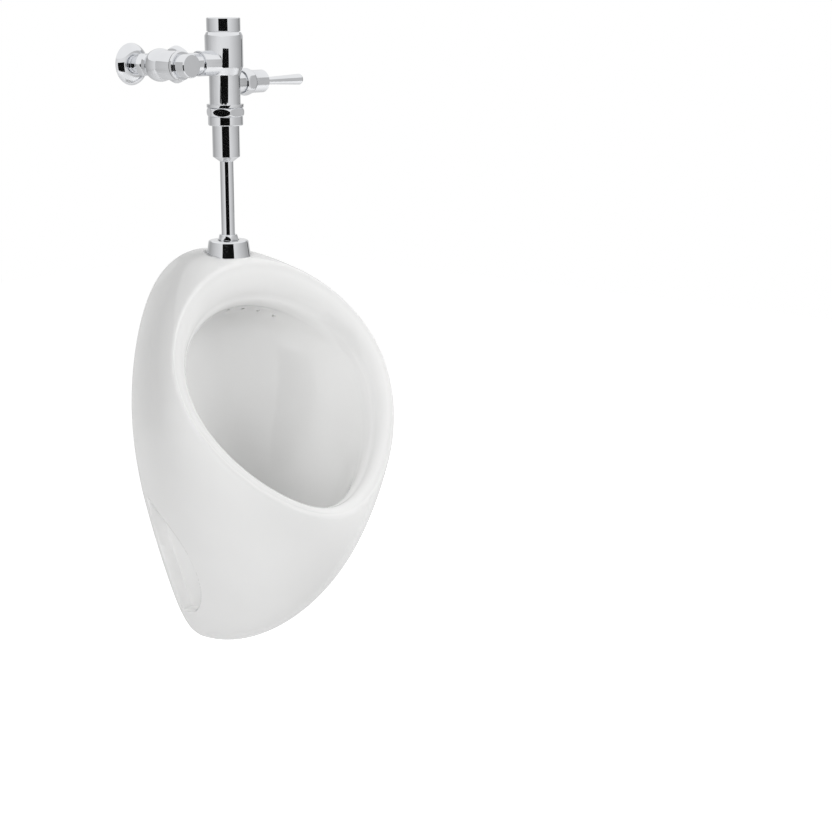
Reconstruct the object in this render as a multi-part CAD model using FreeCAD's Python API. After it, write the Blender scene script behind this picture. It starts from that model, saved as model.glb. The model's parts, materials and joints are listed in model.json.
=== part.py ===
"""Wall-hung ceramic urinal with its exposed manual flush valve, every piece on its own.

The frame is the wall's: X to the right as one faces the wall, +Y into the wall, +Z up.
The wall's face is Y = 0 and the object stands in front of it, so a distance f out of the
wall is Y = -f. The origin is the middle of the four hanger screws on the wall's face.
All lengths are millimetres.
"""
import FreeCAD
import Part
import math
import os

os.makedirs("parts", exist_ok=True)

V = FreeCAD.Vector
UP = V(0, 0, 1)
RIGHT = V(1, 0, 0)
LEFT = V(-1, 0, 0)
OUT = V(0, -1, 0)
IN = V(0, 1, 0)

# Where the object hangs
HANGER_HEIGHT = 430.0           # hanger screws' middle above the bowl's lowest point
HANGER_SPACING = 176.0          # between the two brackets
HANGER_HOLE_SPACING = 34.0      # between the two screws of one bracket

# Bowl: outline against the wall
BOWL_HEIGHT = 600.0
OUTLINE_HALF_WIDTH = 141.3
OUTLINE_WIDTH_SHARES = (1.0, 0.223, 0.038, -0.002, 0.036)     # cosine terms of the width
OUTLINE_RISE_SHARES = (0.047, 0.004)                          # how far its widest point moves

# Bowl: crest of the rim, the edge where the flank turns into the ring
CREST_TOP_F = 95.6
CREST_TOP_Z = 588.6
CREST_LIP_F = 287.5
CREST_LIP_Z = 250.2
CREST_HALF_WIDTH = 193.0
CREST_BOW = -5.15
CREST_WIDTH_SHARES = (1.0, 0.128, -0.063)
CREST_RADIUS = 8.0
INNER_RADIUS = 9.0

# Bowl: how the flank leaves the wall and how it meets the crest, at top, side and bottom
LEAVE_FORWARD = (39.8, 69.8, 111.2)
LEAVE_RISE = (2.3, 0.6, -3.6)
LEAVE_SPREAD = 8.1
MEET_LENGTH = (48.4, 62.3, 131.5)
MEET_ANGLE = (-26.9, 41.6, 86.6)          # degrees above straight forward
MEET_SPREAD = -2.4

# Bowl: inner edge of the ring
INNER_TOP_F = 82.1
INNER_TOP_Z = 526.5
INNER_LIP_F = 252.1
INNER_LIP_Z = 254.9
INNER_HALF_WIDTH = 155.9
INNER_BOW = 5.6
INNER_WIDTH_SHARES = (1.0, 0.185, -0.05)
RING_CROWN = 4.0                          # how far the ring swells between its edges

# Bowl: the basin, as tilted loops from the ring down to the drain. Each has its point at
# the back wall (f, z), its point at the front wall (f, z) and its half width.
BASIN_BACK_F = (74.0, 60.0, 39.0, 30.0, 28.5, 29.0, 32.0, 41.0, 57.0, 70.0)
BASIN_BACK_Z = (521.5, 517.0, 498.0, 455.0, 385.0, 305.0, 225.0, 152.0, 100.0, 84.0)
BASIN_FRONT_F = (248.0, 243.0, 234.0, 222.0, 206.0, 189.0, 172.0, 155.0, 140.0, 128.0)
BASIN_FRONT_Z = (247.0, 238.0, 214.0, 184.0, 152.0, 125.0, 105.0, 92.0, 86.0, 83.0)
BASIN_HALF_WIDTH = (153.5, 150.5, 145.0, 138.0, 127.0, 112.0, 92.0, 68.0, 44.0, 29.0)
BASIN_ROUND_SHARES = (0.17, 0.15, 0.12, 0.09, 0.06, 0.03, 0.0, 0.0, 0.0, 0.0)
BASIN_SQUARE_SHARES = (-0.05, -0.05, -0.05, -0.05, -0.04, -0.03, -0.02, 0.0, 0.0, 0.0)

# Bowl: skins and openings
SKIN = 11.0
FLANGE_THICKNESS = 12.0
FLANGE_WIDTH = 30.0
INLET_F = 59.7
INLET_Z = 594.0                           # the spud cover's seat on the bowl's top
COVER_SEAT_RADIUS = 33.0
SEAT_PAD_HEIGHT = 7.0                     # the pad that levels the sloping ledge under it
INLET_HOLE_RADIUS = 20.5
INLET_WELL_RADIUS = 13.0
INLET_NECK_Z = 574.0
INLET_BOSS_RADIUS = 31.0

# Bowl: flush channel bent over the basin's top, and the spray holes it feeds
CHANNEL_F = 56.0
CHANNEL_Z = 549.0
CHANNEL_LIP_F = 246.0
CHANNEL_LIP_Z = 245.0
CHANNEL_HALF_WIDTH = 170.0
CHANNEL_RADIUS = 10.0
CHANNEL_WALL = 9.0
CHANNEL_HALF_SWEEP = 36.0                 # degrees of the loop on each side of the middle
CHANNEL_STEPS = 12
SPRAY_HOLE_RADIUS = 2.3
SPRAY_HOLES_EACH_SIDE = 3
SPRAY_HOLE_TURN = 9.6                     # degrees of the loop between two holes
SPRAY_FORWARD = 9.0
SPRAY_DROP = 30.0
SPRAY_LENGTH = 40.0

# Bowl: side recesses beside the wall flange, seen from the side
RECESS_F = (12.0, 24.0, 40.0, 62.0, 73.0, 73.5, 66.0, 52.0, 34.0, 12.0)
RECESS_Z = (246.0, 232.0, 216.0, 190.0, 160.0, 130.0, 103.0, 80.0, 65.0, 62.0)
RECESS_DEPTH = 15.0
RECESS_WALL = 9.0
RECESS_REACH = 230.0

# Bowl: drain well and outlet
WELL_F = 99.0
WELL_TOP_Z = 84.0
WELL_RADIUS = 24.0
WELL_FLOOR_Z = 50.0
STRAINER_SEAT_RADIUS = 31.0
STRAINER_SEAT_DEPTH = 3.0
OUTLET_Z = 68.0
OUTLET_RADIUS = 22.0
OUTLET_WALL = 10.0
OUTLET_FACE_F = 14.0

# Bowl: tabs that hang on the wall brackets
TAB_BACK_F = 4.0
TAB_THICKNESS = 7.0
TAB_HEIGHT = 28.0
TAB_REACH = 18.0                          # inward from the bracket's middle
TAB_SEAT_Z = 456.5

# Flush tube and what joins it to the bowl; heights are above the cover's seat
COVER_HEIGHT = 23.5
COVER_TOP_RADIUS = 28.5
COVER_LOW_RADIUS = 32.0
COVER_WALL = 1.4
COVER_ROUND = 3.0
COVER_HOLE_RADIUS = 15.4
TUBE_RADIUS = 9.65
TUBE_WALL = 0.9
TUBE_LOW_H = -18.0
TUBE_CONE_LOW_H = 136.0
TUBE_CONE_HIGH_H = 143.0
BREAKER_TUBE_RADIUS = 19.5
BREAKER_TUBE_FLANGE_RADIUS = 23.2
BREAKER_TUBE_FLANGE_H = 190.0
BREAKER_TUBE_FLANGE_THICKNESS = 2.0
SLIDE_GAP = 0.3
SPUD_SLEEVE_RADIUS = 15.4
SPUD_THREAD_RADIUS = 11.3
SPUD_FLANGE_RADIUS = 25.0
SPUD_FLANGE_H = 2.0
SPUD_FLANGE_THICKNESS = 3.0
SPUD_TOP_H = 21.5
SPUD_LOW_H = -18.5
SPUD_WASHER_THICKNESS = 2.0
SPUD_NUT_FLATS = 26.0
SPUD_NUT_CORNERS = 30.0
SPUD_NUT_LOW_H = 9.0
SPUD_NUT_TOP_H = 31.5
SPUD_NUT_LIP = 4.5
SLIP_SEAL_HEIGHT = 3.4
SLIP_RING_HEIGHT = 1.8

# Vacuum breaker inside the wide tube
BREAKER_RADIUS = 17.8
BREAKER_WALL = 1.2
BREAKER_LOW_H = 158.0
BREAKER_FLANGE_THICKNESS = 1.8
BREAKER_FLANGE_RADIUS = 22.8
BREAKER_WINDOWS = 6
BREAKER_WINDOW_WIDTH = 8.0
BREAKER_WINDOW_LOW_H = 164.0
BREAKER_WINDOW_HIGH_H = 184.0
FLAP_RADIUS = 16.3
FLAP_WALL = 1.0
FLAP_LOW_H = 161.0
FLAP_HIGH_H = 189.0
BODY_SEAL_THICKNESS = 2.0

# Coupling nut between the valve body and the flush tube
COUPLING_FLATS = 48.5
COUPLING_CORNERS = 56.0
COUPLING_LOW_H = 187.0
COUPLING_HEX_H = 199.5
COUPLING_TOP_H = 212.2
COUPLING_SKIRT_RADIUS = 25.0
COUPLING_BORE_RADIUS = 23.6
COUPLING_LIP_RADIUS = 19.9
COUPLING_END_SHARE = 0.99       # how wide the hexagon's end faces are against its flats
NUT_END_SHARE = 0.965           # the same for every other nut

# Valve body, turned outline
BODY_LOW_H = 196.0
BODY_THREAD_RADIUS = 23.3
BODY_COLLAR_RADIUS = 26.3
BODY_COLLAR_GAP = 0.3                     # above the coupling nut
BODY_COLLAR_HEIGHT = 4.5
BODY_LOWER_RADIUS = 22.0
BODY_LOWER_LENGTH = 39.0
BODY_CONE_HEIGHT = 14.0
BODY_UPPER_RADIUS = 27.0
BODY_UPPER_LENGTH = 42.0
BODY_SHOULDER_HEIGHT = 5.0
BODY_SHOULDER_RADIUS = 24.5
BODY_NECK_RADIUS = 22.6
BODY_NECK_HEIGHT = 13.0
BODY_COLLAR_LOW_H = COUPLING_TOP_H + BODY_COLLAR_GAP
BODY_COLLAR_TOP_H = BODY_COLLAR_LOW_H + BODY_COLLAR_HEIGHT
BODY_CONE_LOW_H = BODY_COLLAR_TOP_H + BODY_LOWER_LENGTH
BODY_CONE_TOP_H = BODY_CONE_LOW_H + BODY_CONE_HEIGHT
BODY_SHOULDER_LOW_H = BODY_CONE_TOP_H + BODY_UPPER_LENGTH
BODY_SHOULDER_TOP_H = BODY_SHOULDER_LOW_H + BODY_SHOULDER_HEIGHT
BODY_TOP_H = BODY_SHOULDER_TOP_H + BODY_NECK_HEIGHT

# Main seat and the bores above and below it
BODY_LOWER_BORE = 17.5
BODY_PORT_LENGTH = 4.0
BODY_PORT_RADIUS = 14.5
SEAT_HEIGHT = 6.0
SEAT_RADIUS = 17.0
SEAT_BORE = 12.5
SEAT_LIP_RADIUS = 15.0
SEAT_LIP_HEIGHT = 2.0
CHAMBER_RADIUS = 20.5
SEAT_LOW_H = BODY_CONE_LOW_H
BODY_LOWER_BORE_TOP_H = SEAT_LOW_H - BODY_PORT_LENGTH
SEAT_TOP_H = SEAT_LOW_H + SEAT_HEIGHT
SEAT_LIP_TOP_H = SEAT_TOP_H + SEAT_LIP_HEIGHT

# Top cap and the cover under it
CAP_RADIUS = 24.0
CAP_INNER_RADIUS = 22.9
CAP_LOW_GAP = 1.2                         # above the body's shoulder
CAP_INSIDE_GAP = 0.8                      # above the cover plate
CAP_THICKNESS = 3.2
CAP_EDGE = 1.2
COVER_PLATE_THICKNESS = 3.0
COVER_PLATE_RADIUS = 22.4
COVER_DOME_RADIUS = 20.2
COVER_DOME_DEPTH = 8.0
CAP_LOW_H = BODY_SHOULDER_TOP_H + CAP_LOW_GAP
CAP_TOP_H = BODY_TOP_H + COVER_PLATE_THICKNESS + CAP_INSIDE_GAP + CAP_THICKNESS
COVER_DOME_LOW_H = BODY_TOP_H - COVER_DOME_DEPTH

# Piston and what it carries
PISTON_RADIUS = 20.2
PISTON_WALL = 1.8
PISTON_SEAL_THICKNESS = 3.0
PISTON_FLOOR_THICKNESS = 3.0
PISTON_RISE_ROOM = 22.0                   # between the piston and the dome over it
PISTON_GUIDE_RADIUS = 12.44
PISTON_GUIDE_WALL = 1.8
PISTON_GUIDE_LENGTH = 13.0
PISTON_HOLE_RADIUS = 7.0
PISTON_RING_HEIGHT = 6.0
PISTON_RING_DEPTH = 2.0                   # below the piston's top
PISTON_LOW_H = SEAT_LIP_TOP_H + PISTON_SEAL_THICKNESS
PISTON_FLOOR_H = PISTON_LOW_H + PISTON_FLOOR_THICKNESS
PISTON_TOP_H = COVER_DOME_LOW_H - PISTON_RISE_ROOM
PISTON_GUIDE_LOW_H = PISTON_LOW_H - PISTON_GUIDE_LENGTH
PISTON_RING_HIGH_H = PISTON_TOP_H - PISTON_RING_DEPTH
PISTON_RING_LOW_H = PISTON_RING_HIGH_H - PISTON_RING_HEIGHT
PISTON_RING_RADIUS = 20.45
PISTON_RING_GROOVE = 18.9
PISTON_SEAL_RADIUS = 17.0
RELIEF_DISC_RADIUS = 9.0
RELIEF_DISC_THICKNESS = 3.0
RELIEF_STEM_RADIUS = 4.5
RELIEF_STEM_LOW_H = 239.0

# Handle side; places are along X from the valve's axis
HANDLE_H = 246.6
HANDLE_BOSS_RADIUS = 15.5
HANDLE_BOSS_X = 31.0
HANDLE_THREAD_RADIUS = 15.2
HANDLE_THREAD_X = 40.0
HANDLE_BOSS_BORE = 11.0
HANDLE_SEAL_THICKNESS = 1.0
BUSHING_FLANGE_THICKNESS = 3.0
BUSHING_FLANGE_RADIUS = 14.9
BUSHING_RADIUS = 10.7
BUSHING_INNER_X = 18.5
BUSHING_POCKET_RADIUS = 7.5
BUSHING_POCKET_X = 32.0
BUSHING_BORE = 3.08
PLUNGER_RADIUS = 3.0
PLUNGER_TIP_X = 5.2
PLUNGER_HEAD_X = 47.0
PLUNGER_HEAD_END_X = 50.0
PLUNGER_HEAD_RADIUS = 7.2
PLUNGER_SKIRT_INNER = 6.6
PLUNGER_SKIRT_LENGTH = 2.6
PLUNGER_RIM_END_X = 48.6
PLUNGER_NOSE_RADIUS = 1.8
SPRING_RADIUS = 5.5
SPRING_WIRE_RADIUS = 0.5
SPRING_PITCH = 2.8
SPRING_END_X = 44.0
SOCKET_FLANGE_THICKNESS = 2.5
SOCKET_RADIUS = 14.0
SOCKET_END_X = 56.0
SOCKET_CAVITY_RADIUS = 13.3
SOCKET_LIP_X = 53.0
SOCKET_LIP_BORE = 9.5
HANDLE_NUT_FLATS = 34.6
HANDLE_NUT_CORNERS = 40.0
HANDLE_NUT_X = 31.3
HANDLE_NUT_END_X = 49.0
HANDLE_NUT_BORE = 15.45
HANDLE_NUT_LIP = 2.3
HANDLE_NUT_LIP_BORE = 14.3
COLLAR_RADIUS = 16.6
COLLAR_X = 49.2
CUP_X = 52.2
CUP_END_X = 75.0
CUP_RADIUS = 16.25
CUP_BORE = 14.1
CUP_CAVITY_RADIUS = 13.0
CUP_CAVITY_X = 57.0
CUP_LIP = 3.5
CUP_OPENING = 10.0
CUP_EDGE = 1.2
LEVER_DISC_X = 50.2
LEVER_DISC_END_X = 52.95
LEVER_DISC_RADIUS = 12.5
LEVER_ROOT_RADIUS = 4.8
LEVER_END_X = 155.0
LEVER_END_RADIUS = 8.0
LEVER_ROUND = 4.0

# Tail between the valve body and the stop; places are along X from the valve's axis
TAIL_H = 274.5
TAIL_BOSS_RADIUS = 17.5
TAIL_BOSS_X = -50.0
TAIL_BOSS_BORE = 15.2
TAIL_BOSS_BORE_X = -33.0
TAIL_PORT_RADIUS = 12.0
TAIL_RADIUS = 15.0
TAIL_WALL = 1.6
TAIL_INNER_X = -34.0
TAIL_OUTER_X = -88.5
TAIL_FLANGE_RADIUS = 17.0
TAIL_FLANGE_X = -86.3
TAIL_SEAL_X = -46.0
TAIL_SEAL_LENGTH = 3.0
TAIL_SEAL_RADIUS = 16.3
TAIL_NUT_FLATS = 45.0
TAIL_NUT_CORNERS = 52.0
TAIL_NUT_X = -83.0
TAIL_NUT_END_X = -98.0
TAIL_NUT_BORE = 17.6
TAIL_NUT_LIP = 3.0

# Stop valve; places are across from its axis, or f out of the wall
STOP_X = -120.0
STOP_NECK_RADIUS = 17.5
STOP_NECK_THREAD_RADIUS = 17.3
STOP_NECK_X = -91.0
STOP_BULB_RADIUS = 22.5
STOP_BARREL_RADIUS = 19.6
STOP_FRONT_F = 97.0
STOP_BACK_F = 37.0
STOP_BACK_RADIUS = 15.5
STOP_BLEND = 5.0
STOP_CHAMBER_RADIUS = 12.6
STOP_SEAT_F = 52.0
STOP_INLET_RADIUS = 9.0
STOP_PIPE_BORE = 11.2
STOP_PIPE_F = 46.0
STOP_OUTLET_RADIUS = 11.0
BONNET_COLLAR_RADIUS = 19.9
BONNET_COLLAR_END_F = 103.0
BONNET_SHANK_RADIUS = 12.5
BONNET_SHANK_F = 84.0
BONNET_NOSE_RADIUS = 11.0
BONNET_NOSE_F = 112.0
BONNET_BORE = 4.06
BONNET_SEAL_THICKNESS = 1.0
STOP_CAP_RADIUS = 16.0
STOP_CAP_INNER_RADIUS = 13.0
STOP_CAP_F = 103.3
STOP_CAP_END_F = 122.0
STOP_CAP_THICKNESS = 3.0
STOP_CAP_EDGE = 1.2
CAP_RING_LENGTH = 4.0
SPINDLE_RADIUS = 4.0
SPINDLE_SCREW_RADIUS = 3.5
SPINDLE_SCREW_F = 68.0
SPINDLE_COLLAR_RADIUS = 6.0
SPINDLE_COLLAR_THICKNESS = 2.0
SPINDLE_END_F = 117.0
SPINDLE_SLOT_WIDTH = 1.2
SPINDLE_SLOT_DEPTH = 1.6
STOP_DISC_RADIUS = 9.5
STOP_DISC_F = 61.5
STOP_DISC_END_F = 78.0
STOP_DISC_BORE = 3.56
STOP_DISC_BORE_F = 66.0
STOP_DISC_SEAL_THICKNESS = 2.0
STOP_DISC_SEAL_RADIUS = 10.5
SUPPLY_RADIUS = 11.0
SUPPLY_WALL = 1.8
SUPPLY_INTO_WALL = 12.0
SUPPLY_END_F = 44.0
SUPPLY_NUT_FLATS = 30.0
SUPPLY_NUT_CORNERS = 34.6
SUPPLY_NUT_F = 24.0
SUPPLY_NUT_END_F = 36.5
ESCUTCHEON_RADIUS = 29.0
ESCUTCHEON_HEIGHT = 11.0
ESCUTCHEON_WALL = 1.2
ESCUTCHEON_HOLE = 11.3

# Outlet joint, strainer and wall brackets
STRAINER_RADIUS = 30.6
STRAINER_THICKNESS = 1.5
STRAINER_RISE = 3.0
STRAINER_HOLES = 12
STRAINER_HOLE_RADIUS = 2.6
STRAINER_HOLE_RING = 19.0
STRAINER_INNER_HOLES = 6
STRAINER_INNER_RING = 10.5
STRAINER_SCREW_RADIUS = 2.5
STRAINER_SCREW_HEAD_RADIUS = 5.0
STRAINER_SCREW_HEAD = 2.2
STRAINER_SCREW_LENGTH = 22.0
STRAINER_BAR_HALF_WIDTH = 3.6
STRAINER_BAR_THICKNESS = 5.0
STRAINER_BAR_Z = 64.0
CONNECTOR_RADIUS = 20.0
CONNECTOR_WALL = 2.0
CONNECTOR_INTO_WALL = 18.0
CONNECTOR_END_F = 44.0
CONNECTOR_FLANGE_RADIUS = 27.0
CONNECTOR_FLANGE_F = 8.0
CONNECTOR_FLANGE_END_F = 11.0
CONNECTOR_SEAL_RADIUS = 26.5
CONNECTOR_RING_F = 28.0
CONNECTOR_RING_LENGTH = 6.0
BRACKET_WIDTH = 20.0
BRACKET_THICKNESS = 3.0
BRACKET_LOW_Z = 396.0
BRACKET_HIGH_Z = 478.0
BRACKET_REACH_F = 14.4
BRACKET_HOOK_HEIGHT = 14.0
BRACKET_HOLE_RADIUS = 2.8
HANGER_SCREW_RADIUS = 2.5
HANGER_NECK_RADIUS = 2.2
HANGER_SCREW_LENGTH = 22.0
HANGER_SCREW_HEAD_RADIUS = 5.0
HANGER_SCREW_HEAD = 2.0

# Shares and steps of the curved surfaces
DOME_SHOULDER_SHARE = 0.35
DOME_RISE_SHARE = 0.75
LID_SHARES = (0.75, 0.4)        # loops that close the hollow over the basin's opening
LOOP_POINTS = 48
FLANK_STATIONS = 7
RING_STATIONS = 4
ROUND_STEPS = 4


def at(x, f, z):
    """A point from its place across, its distance out of the wall and its bowl height."""
    return V(x, -f, z - HANGER_HEIGHT)


def save(shape, name):
    """Write one node, after checking that it is a closed solid."""
    solids = shape.Solids
    ok = bool(solids) and all(s.isValid() and s.Volume > 0 for s in solids)
    print(name, "solids", len(solids), "volume cm3", round(shape.Volume / 1000.0, 2),
          "" if ok else "NOT VALID")
    shape.exportStep("parts/" + name + ".step")


def rise_between(a, b, c, s):
    """A smooth value that is a at s = 0, b half way and c at s = 1."""
    return a * (1 - s) * (1 - 2 * s) + 4 * b * s * (1 - s) + c * s * (2 * s - 1)


def angles():
    """The turns round a loop, starting at its top."""
    return [2 * math.pi * i / LOOP_POINTS for i in range(LOOP_POINTS)]


def cosine_sum(shares, t):
    """A width that varies round a loop, as a short sum of cosines."""
    return sum(share * math.cos(n * t) for n, share in enumerate(shares))


def tilted_loop(back, front, half_width, bow, shares):
    """A closed loop between two points of the middle plane, bowed out of its own plane."""
    chord_f = front[0] - back[0]
    chord_z = front[1] - back[1]
    chord = math.hypot(chord_f, chord_z)
    loop = []
    for t in angles():
        s = (1 - math.cos(t)) / 2
        lift = bow * 4 * s * (1 - s)
        f = back[0] + chord_f * s - chord_z / chord * lift
        z = back[1] + chord_z * s + chord_f / chord * lift
        x = half_width * math.sin(t) * cosine_sum(shares, t)
        loop.append(at(x, f, z))
    return loop


def outline_loop():
    """The bowl's outline on the wall."""
    loop = []
    for t in angles():
        x = OUTLINE_HALF_WIDTH * math.sin(t) * cosine_sum(OUTLINE_WIDTH_SHARES, t)
        raised = OUTLINE_RISE_SHARES[0] + OUTLINE_RISE_SHARES[1] * math.cos(t)
        z = BOWL_HEIGHT * (0.5 + 0.5 * math.cos(t) + raised * math.sin(t) ** 2)
        loop.append(at(x, 0, z))
    return loop


def crest_loop():
    """The rim's crest."""
    return tilted_loop((CREST_TOP_F, CREST_TOP_Z), (CREST_LIP_F, CREST_LIP_Z),
                       CREST_HALF_WIDTH, CREST_BOW, CREST_WIDTH_SHARES)


def inner_loop():
    """The inner edge of the rim's ring."""
    return tilted_loop((INNER_TOP_F, INNER_TOP_Z), (INNER_LIP_F, INNER_LIP_Z),
                       INNER_HALF_WIDTH, INNER_BOW, INNER_WIDTH_SHARES)


def bezier(a, b, c, d, v):
    """A point of a cubic curve with the ends a, d and the handles b, c."""
    w = 1 - v
    return a * (w ** 3) + b * (3 * v * w * w) + c * (3 * v * v * w) + d * (v ** 3)


def flank_loops(stations, stop_short):
    """Loops of the flank, from the outline on the wall to a little short of the crest."""
    rows = [[] for v in stations]
    for t, start, end in zip(angles(), outline_loop(), crest_loop()):
        s = (1 - math.cos(t)) / 2
        side = 4 * s * (1 - s) * math.sin(t)
        leave = rise_between(*LEAVE_FORWARD, s)
        rise = rise_between(*LEAVE_RISE, s)
        length = rise_between(*MEET_LENGTH, s)
        angle = math.radians(rise_between(*MEET_ANGLE, s))
        first = start + V(LEAVE_SPREAD * side, -leave, rise)
        second = end + V(MEET_SPREAD * side, length * math.cos(angle), -length * math.sin(angle))
        reach = 1 - stop_short / (3 * length)
        for row, v in zip(rows, stations):
            row.append(bezier(start, first, second, end, v * reach))
    return rows


def basin_loops():
    """Loops of the basin, from just inside the ring down to the drain."""
    rows = []
    sizes = zip(BASIN_BACK_F, BASIN_BACK_Z, BASIN_FRONT_F, BASIN_FRONT_Z, BASIN_HALF_WIDTH,
                BASIN_ROUND_SHARES, BASIN_SQUARE_SHARES)
    for back_f, back_z, front_f, front_z, half_width, rounder, squarer in sizes:
        rows.append(tilted_loop((back_f, back_z), (front_f, front_z), half_width, 0,
                                (1.0, rounder, squarer)))
    return rows


def blended(first, second, share, lift):
    """A loop between two others, lifted to the outer side of the strip between them."""
    loop = []
    count = len(first)
    for i in range(count):
        along = first[(i + 1) % count] - first[i - 1]
        across = second[i] - first[i]
        normal = along.cross(across)
        normal.normalize()
        loop.append(first[i] + across * share - normal * lift)
    return loop


def rounded_corner(before, corner, after):
    """Loops that turn smoothly from one strip to the next round a sharp corner loop."""
    rows = []
    for step in range(ROUND_STEPS + 1):
        s = step / float(ROUND_STEPS)
        w = 1 - s
        rows.append([a * (w * w) + b * (2 * s * w) + c * (s * s)
                     for a, b, c in zip(before, corner, after)])
    return rows


def shifted(rows, distance):
    """Loops moved along the surface they lie on, away from or into the material."""
    moved = []
    count = LOOP_POINTS
    for j, row in enumerate(rows):
        before = rows[max(j - 1, 0)]
        after = rows[min(j + 1, len(rows) - 1)]
        loop = []
        for i in range(count):
            along = row[(i + 1) % count] - row[i - 1]
            across = after[i] - before[i]
            normal = along.cross(across)
            normal.normalize()
            loop.append(row[i] + normal * distance)
        moved.append(loop)
    return moved


def loop_wire(points):
    """A smooth closed wire through a loop's points."""
    curve = Part.BSplineCurve()
    knots = [i / float(len(points)) for i in range(len(points) + 1)]
    curve.interpolate(Points=points, PeriodicFlag=True, Parameters=knots)
    return Part.Wire([curve.toShape()])


def strip(rows, straight=False):
    """The surface through a row of loops, smooth or straight from loop to loop."""
    return Part.makeLoft([loop_wire(row) for row in rows], False, straight).Faces


def closed_solid(faces):
    """The solid inside a set of faces that meet at their edges."""
    shell = Part.Shell(faces)
    sewn = shell.copy()
    sewn.sewShape()
    solid = Part.Solid(sewn if sewn.ShapeType == "Shell" else sewn.Shells[0])
    if solid.Volume < 0:
        solid.reverse()
    return solid


def box_between(x0, x1, f0, f1, z0, z1):
    """A block between two places across, out of the wall and up."""
    return Part.makeBox(x1 - x0, f1 - f0, z1 - z0, at(x0, f1, z0))


def rod(centre, direction, radius, length):
    """A round bar from a point along a direction."""
    return Part.makeCylinder(radius, length, centre, direction)


def loop_solid(before, smooth, after):
    """The solid inside a smooth strip with straight strips before and after it."""
    faces = strip(smooth)
    if before:
        faces = strip(before + [smooth[0]], True) + faces
    if after:
        faces = faces + strip([smooth[-1]] + after, True)
    first = (before + smooth)[0]
    last = (smooth + after)[-1]
    return closed_solid(faces + [Part.Face(loop_wire(first)), Part.Face(loop_wire(last))])


def drawn_in(inset, f):
    """The outline's loop drawn in by a distance, at a depth out of the wall."""
    loop = outline_loop()
    count = LOOP_POINTS
    drawn = []
    for i in range(count):
        along = loop[(i + 1) % count] - loop[i - 1]
        normal = OUT.cross(along)
        normal.normalize()
        if normal.dot(loop[i] - at(0, 0, BOWL_HEIGHT / 2)) > 0:
            normal = normal * -1
        drawn.append(loop[i] + normal * inset + OUT * f)
    return drawn


def outline_prism(inset, f0, f1):
    """The outline's shape, drawn in by a distance, between two depths."""
    return Part.Face(loop_wire(drawn_in(inset, f0))).extrude(OUT * (f1 - f0))


def recess_block(grow, half_span):
    """The side recesses' shape seen from the side, grown and run right across the bowl."""
    count = len(RECESS_F)
    points = [at(-half_span, f, z) for f, z in zip(RECESS_F, RECESS_Z)]
    middle = at(-half_span, RECESS_F[-1], (RECESS_Z[0] + RECESS_Z[1]) / 2)
    curved = [point + (point - middle) * (grow / (point - middle).Length) for point in points]
    bow = Part.BSplineCurve()
    bow.interpolate(Points=curved)
    chord = Part.makeLine(curved[-1], curved[0])
    face = Part.Face(Part.Wire([bow.toShape(), chord]))
    return face.extrude(RIGHT * (2 * half_span))


def flat_loop(points):
    """A loop pressed onto the plane through its top, its lowest point and the X direction."""
    middle = (points[0] + points[len(points) // 2]) * 0.5
    normal = (points[len(points) // 2] - points[0]).cross(RIGHT)
    normal.normalize()
    return [p - normal * (p - middle).dot(normal) for p in points]


def bowl_strips():
    """Rows of loops for the flank, crest, ring, inner edge and basin, in that order."""
    stations = [i / (FLANK_STATIONS - 1.0) for i in range(FLANK_STATIONS)]
    flank = flank_loops(stations, CREST_RADIUS)
    crest = crest_loop()
    inner = inner_loop()
    basin = basin_loops()
    ring = ring_loops(crest, inner)
    return [flank, rounded_corner(flank[-1], crest, ring[0]), ring,
            rounded_corner(ring[-1], inner, basin[0]), basin]


def ring_loops(crest, inner):
    """Loops of the ring between its two rounded edges, slightly crowned."""
    rows = []
    for i in range(RING_STATIONS):
        s = i / (RING_STATIONS - 1.0)
        loop = []
        crown = blended(crest, inner, 0.5, RING_CROWN * 4 * s * (1 - s))
        middle = blended(crest, inner, 0.5, 0)
        for a, b, up, mid in zip(crest, inner, crown, middle):
            width = (b - a).Length
            start = CREST_RADIUS / width
            share = start + (1 - start - INNER_RADIUS / width) * s
            loop.append(a + (b - a) * share + up - mid)
        rows.append(loop)
    return rows


def opening_normal():
    """The direction straight out of the basin's opening."""
    chord_f = INNER_LIP_F - INNER_TOP_F
    chord_z = INNER_LIP_Z - INNER_TOP_Z
    normal = V(0, chord_z, chord_f)
    normal.normalize()
    return normal


def hollow(strips):
    """The space between the outer skin and the basin's skin, open towards the wall."""
    flank_in = shifted(strips[0], SKIN)
    flank_in[0] = [V(p.x, -FLANGE_THICKNESS, p.z) for p in flank_in[0]]
    ring_in = shifted(strips[2], SKIN)
    corner = [k + a - b + c - d for k, a, b, c, d in
              zip(crest_loop(), flank_in[-1], strips[0][-1], ring_in[0], strips[2][0])]
    inward = opening_normal() * -SKIN
    lid = []
    for share in LID_SHARES:
        edge = tilted_loop((INNER_TOP_F, INNER_TOP_Z), (INNER_LIP_F, INNER_LIP_Z),
                           INNER_HALF_WIDTH, 0, (1.0,))
        middle = (edge[0] + edge[len(edge) // 2]) * 0.5
        lid.append([middle + (p - middle) * share + inward * 2 for p in edge])
    opening = [drawn_in(FLANGE_WIDTH, -FLANGE_THICKNESS), drawn_in(FLANGE_WIDTH, FLANGE_THICKNESS)]
    space = loop_solid(opening, flank_in[:-1], [corner, ring_in[-1]] + lid)
    basin_out = shifted(strips[4], SKIN)
    raised = [p + opening_normal() * (4 * SKIN) for p in basin_out[0]]
    basin_out[-1] = flat_loop(basin_out[-1])
    basin_block = loop_solid([flat_loop(raised)], basin_out, [])
    return space.cut(basin_block)


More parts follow.
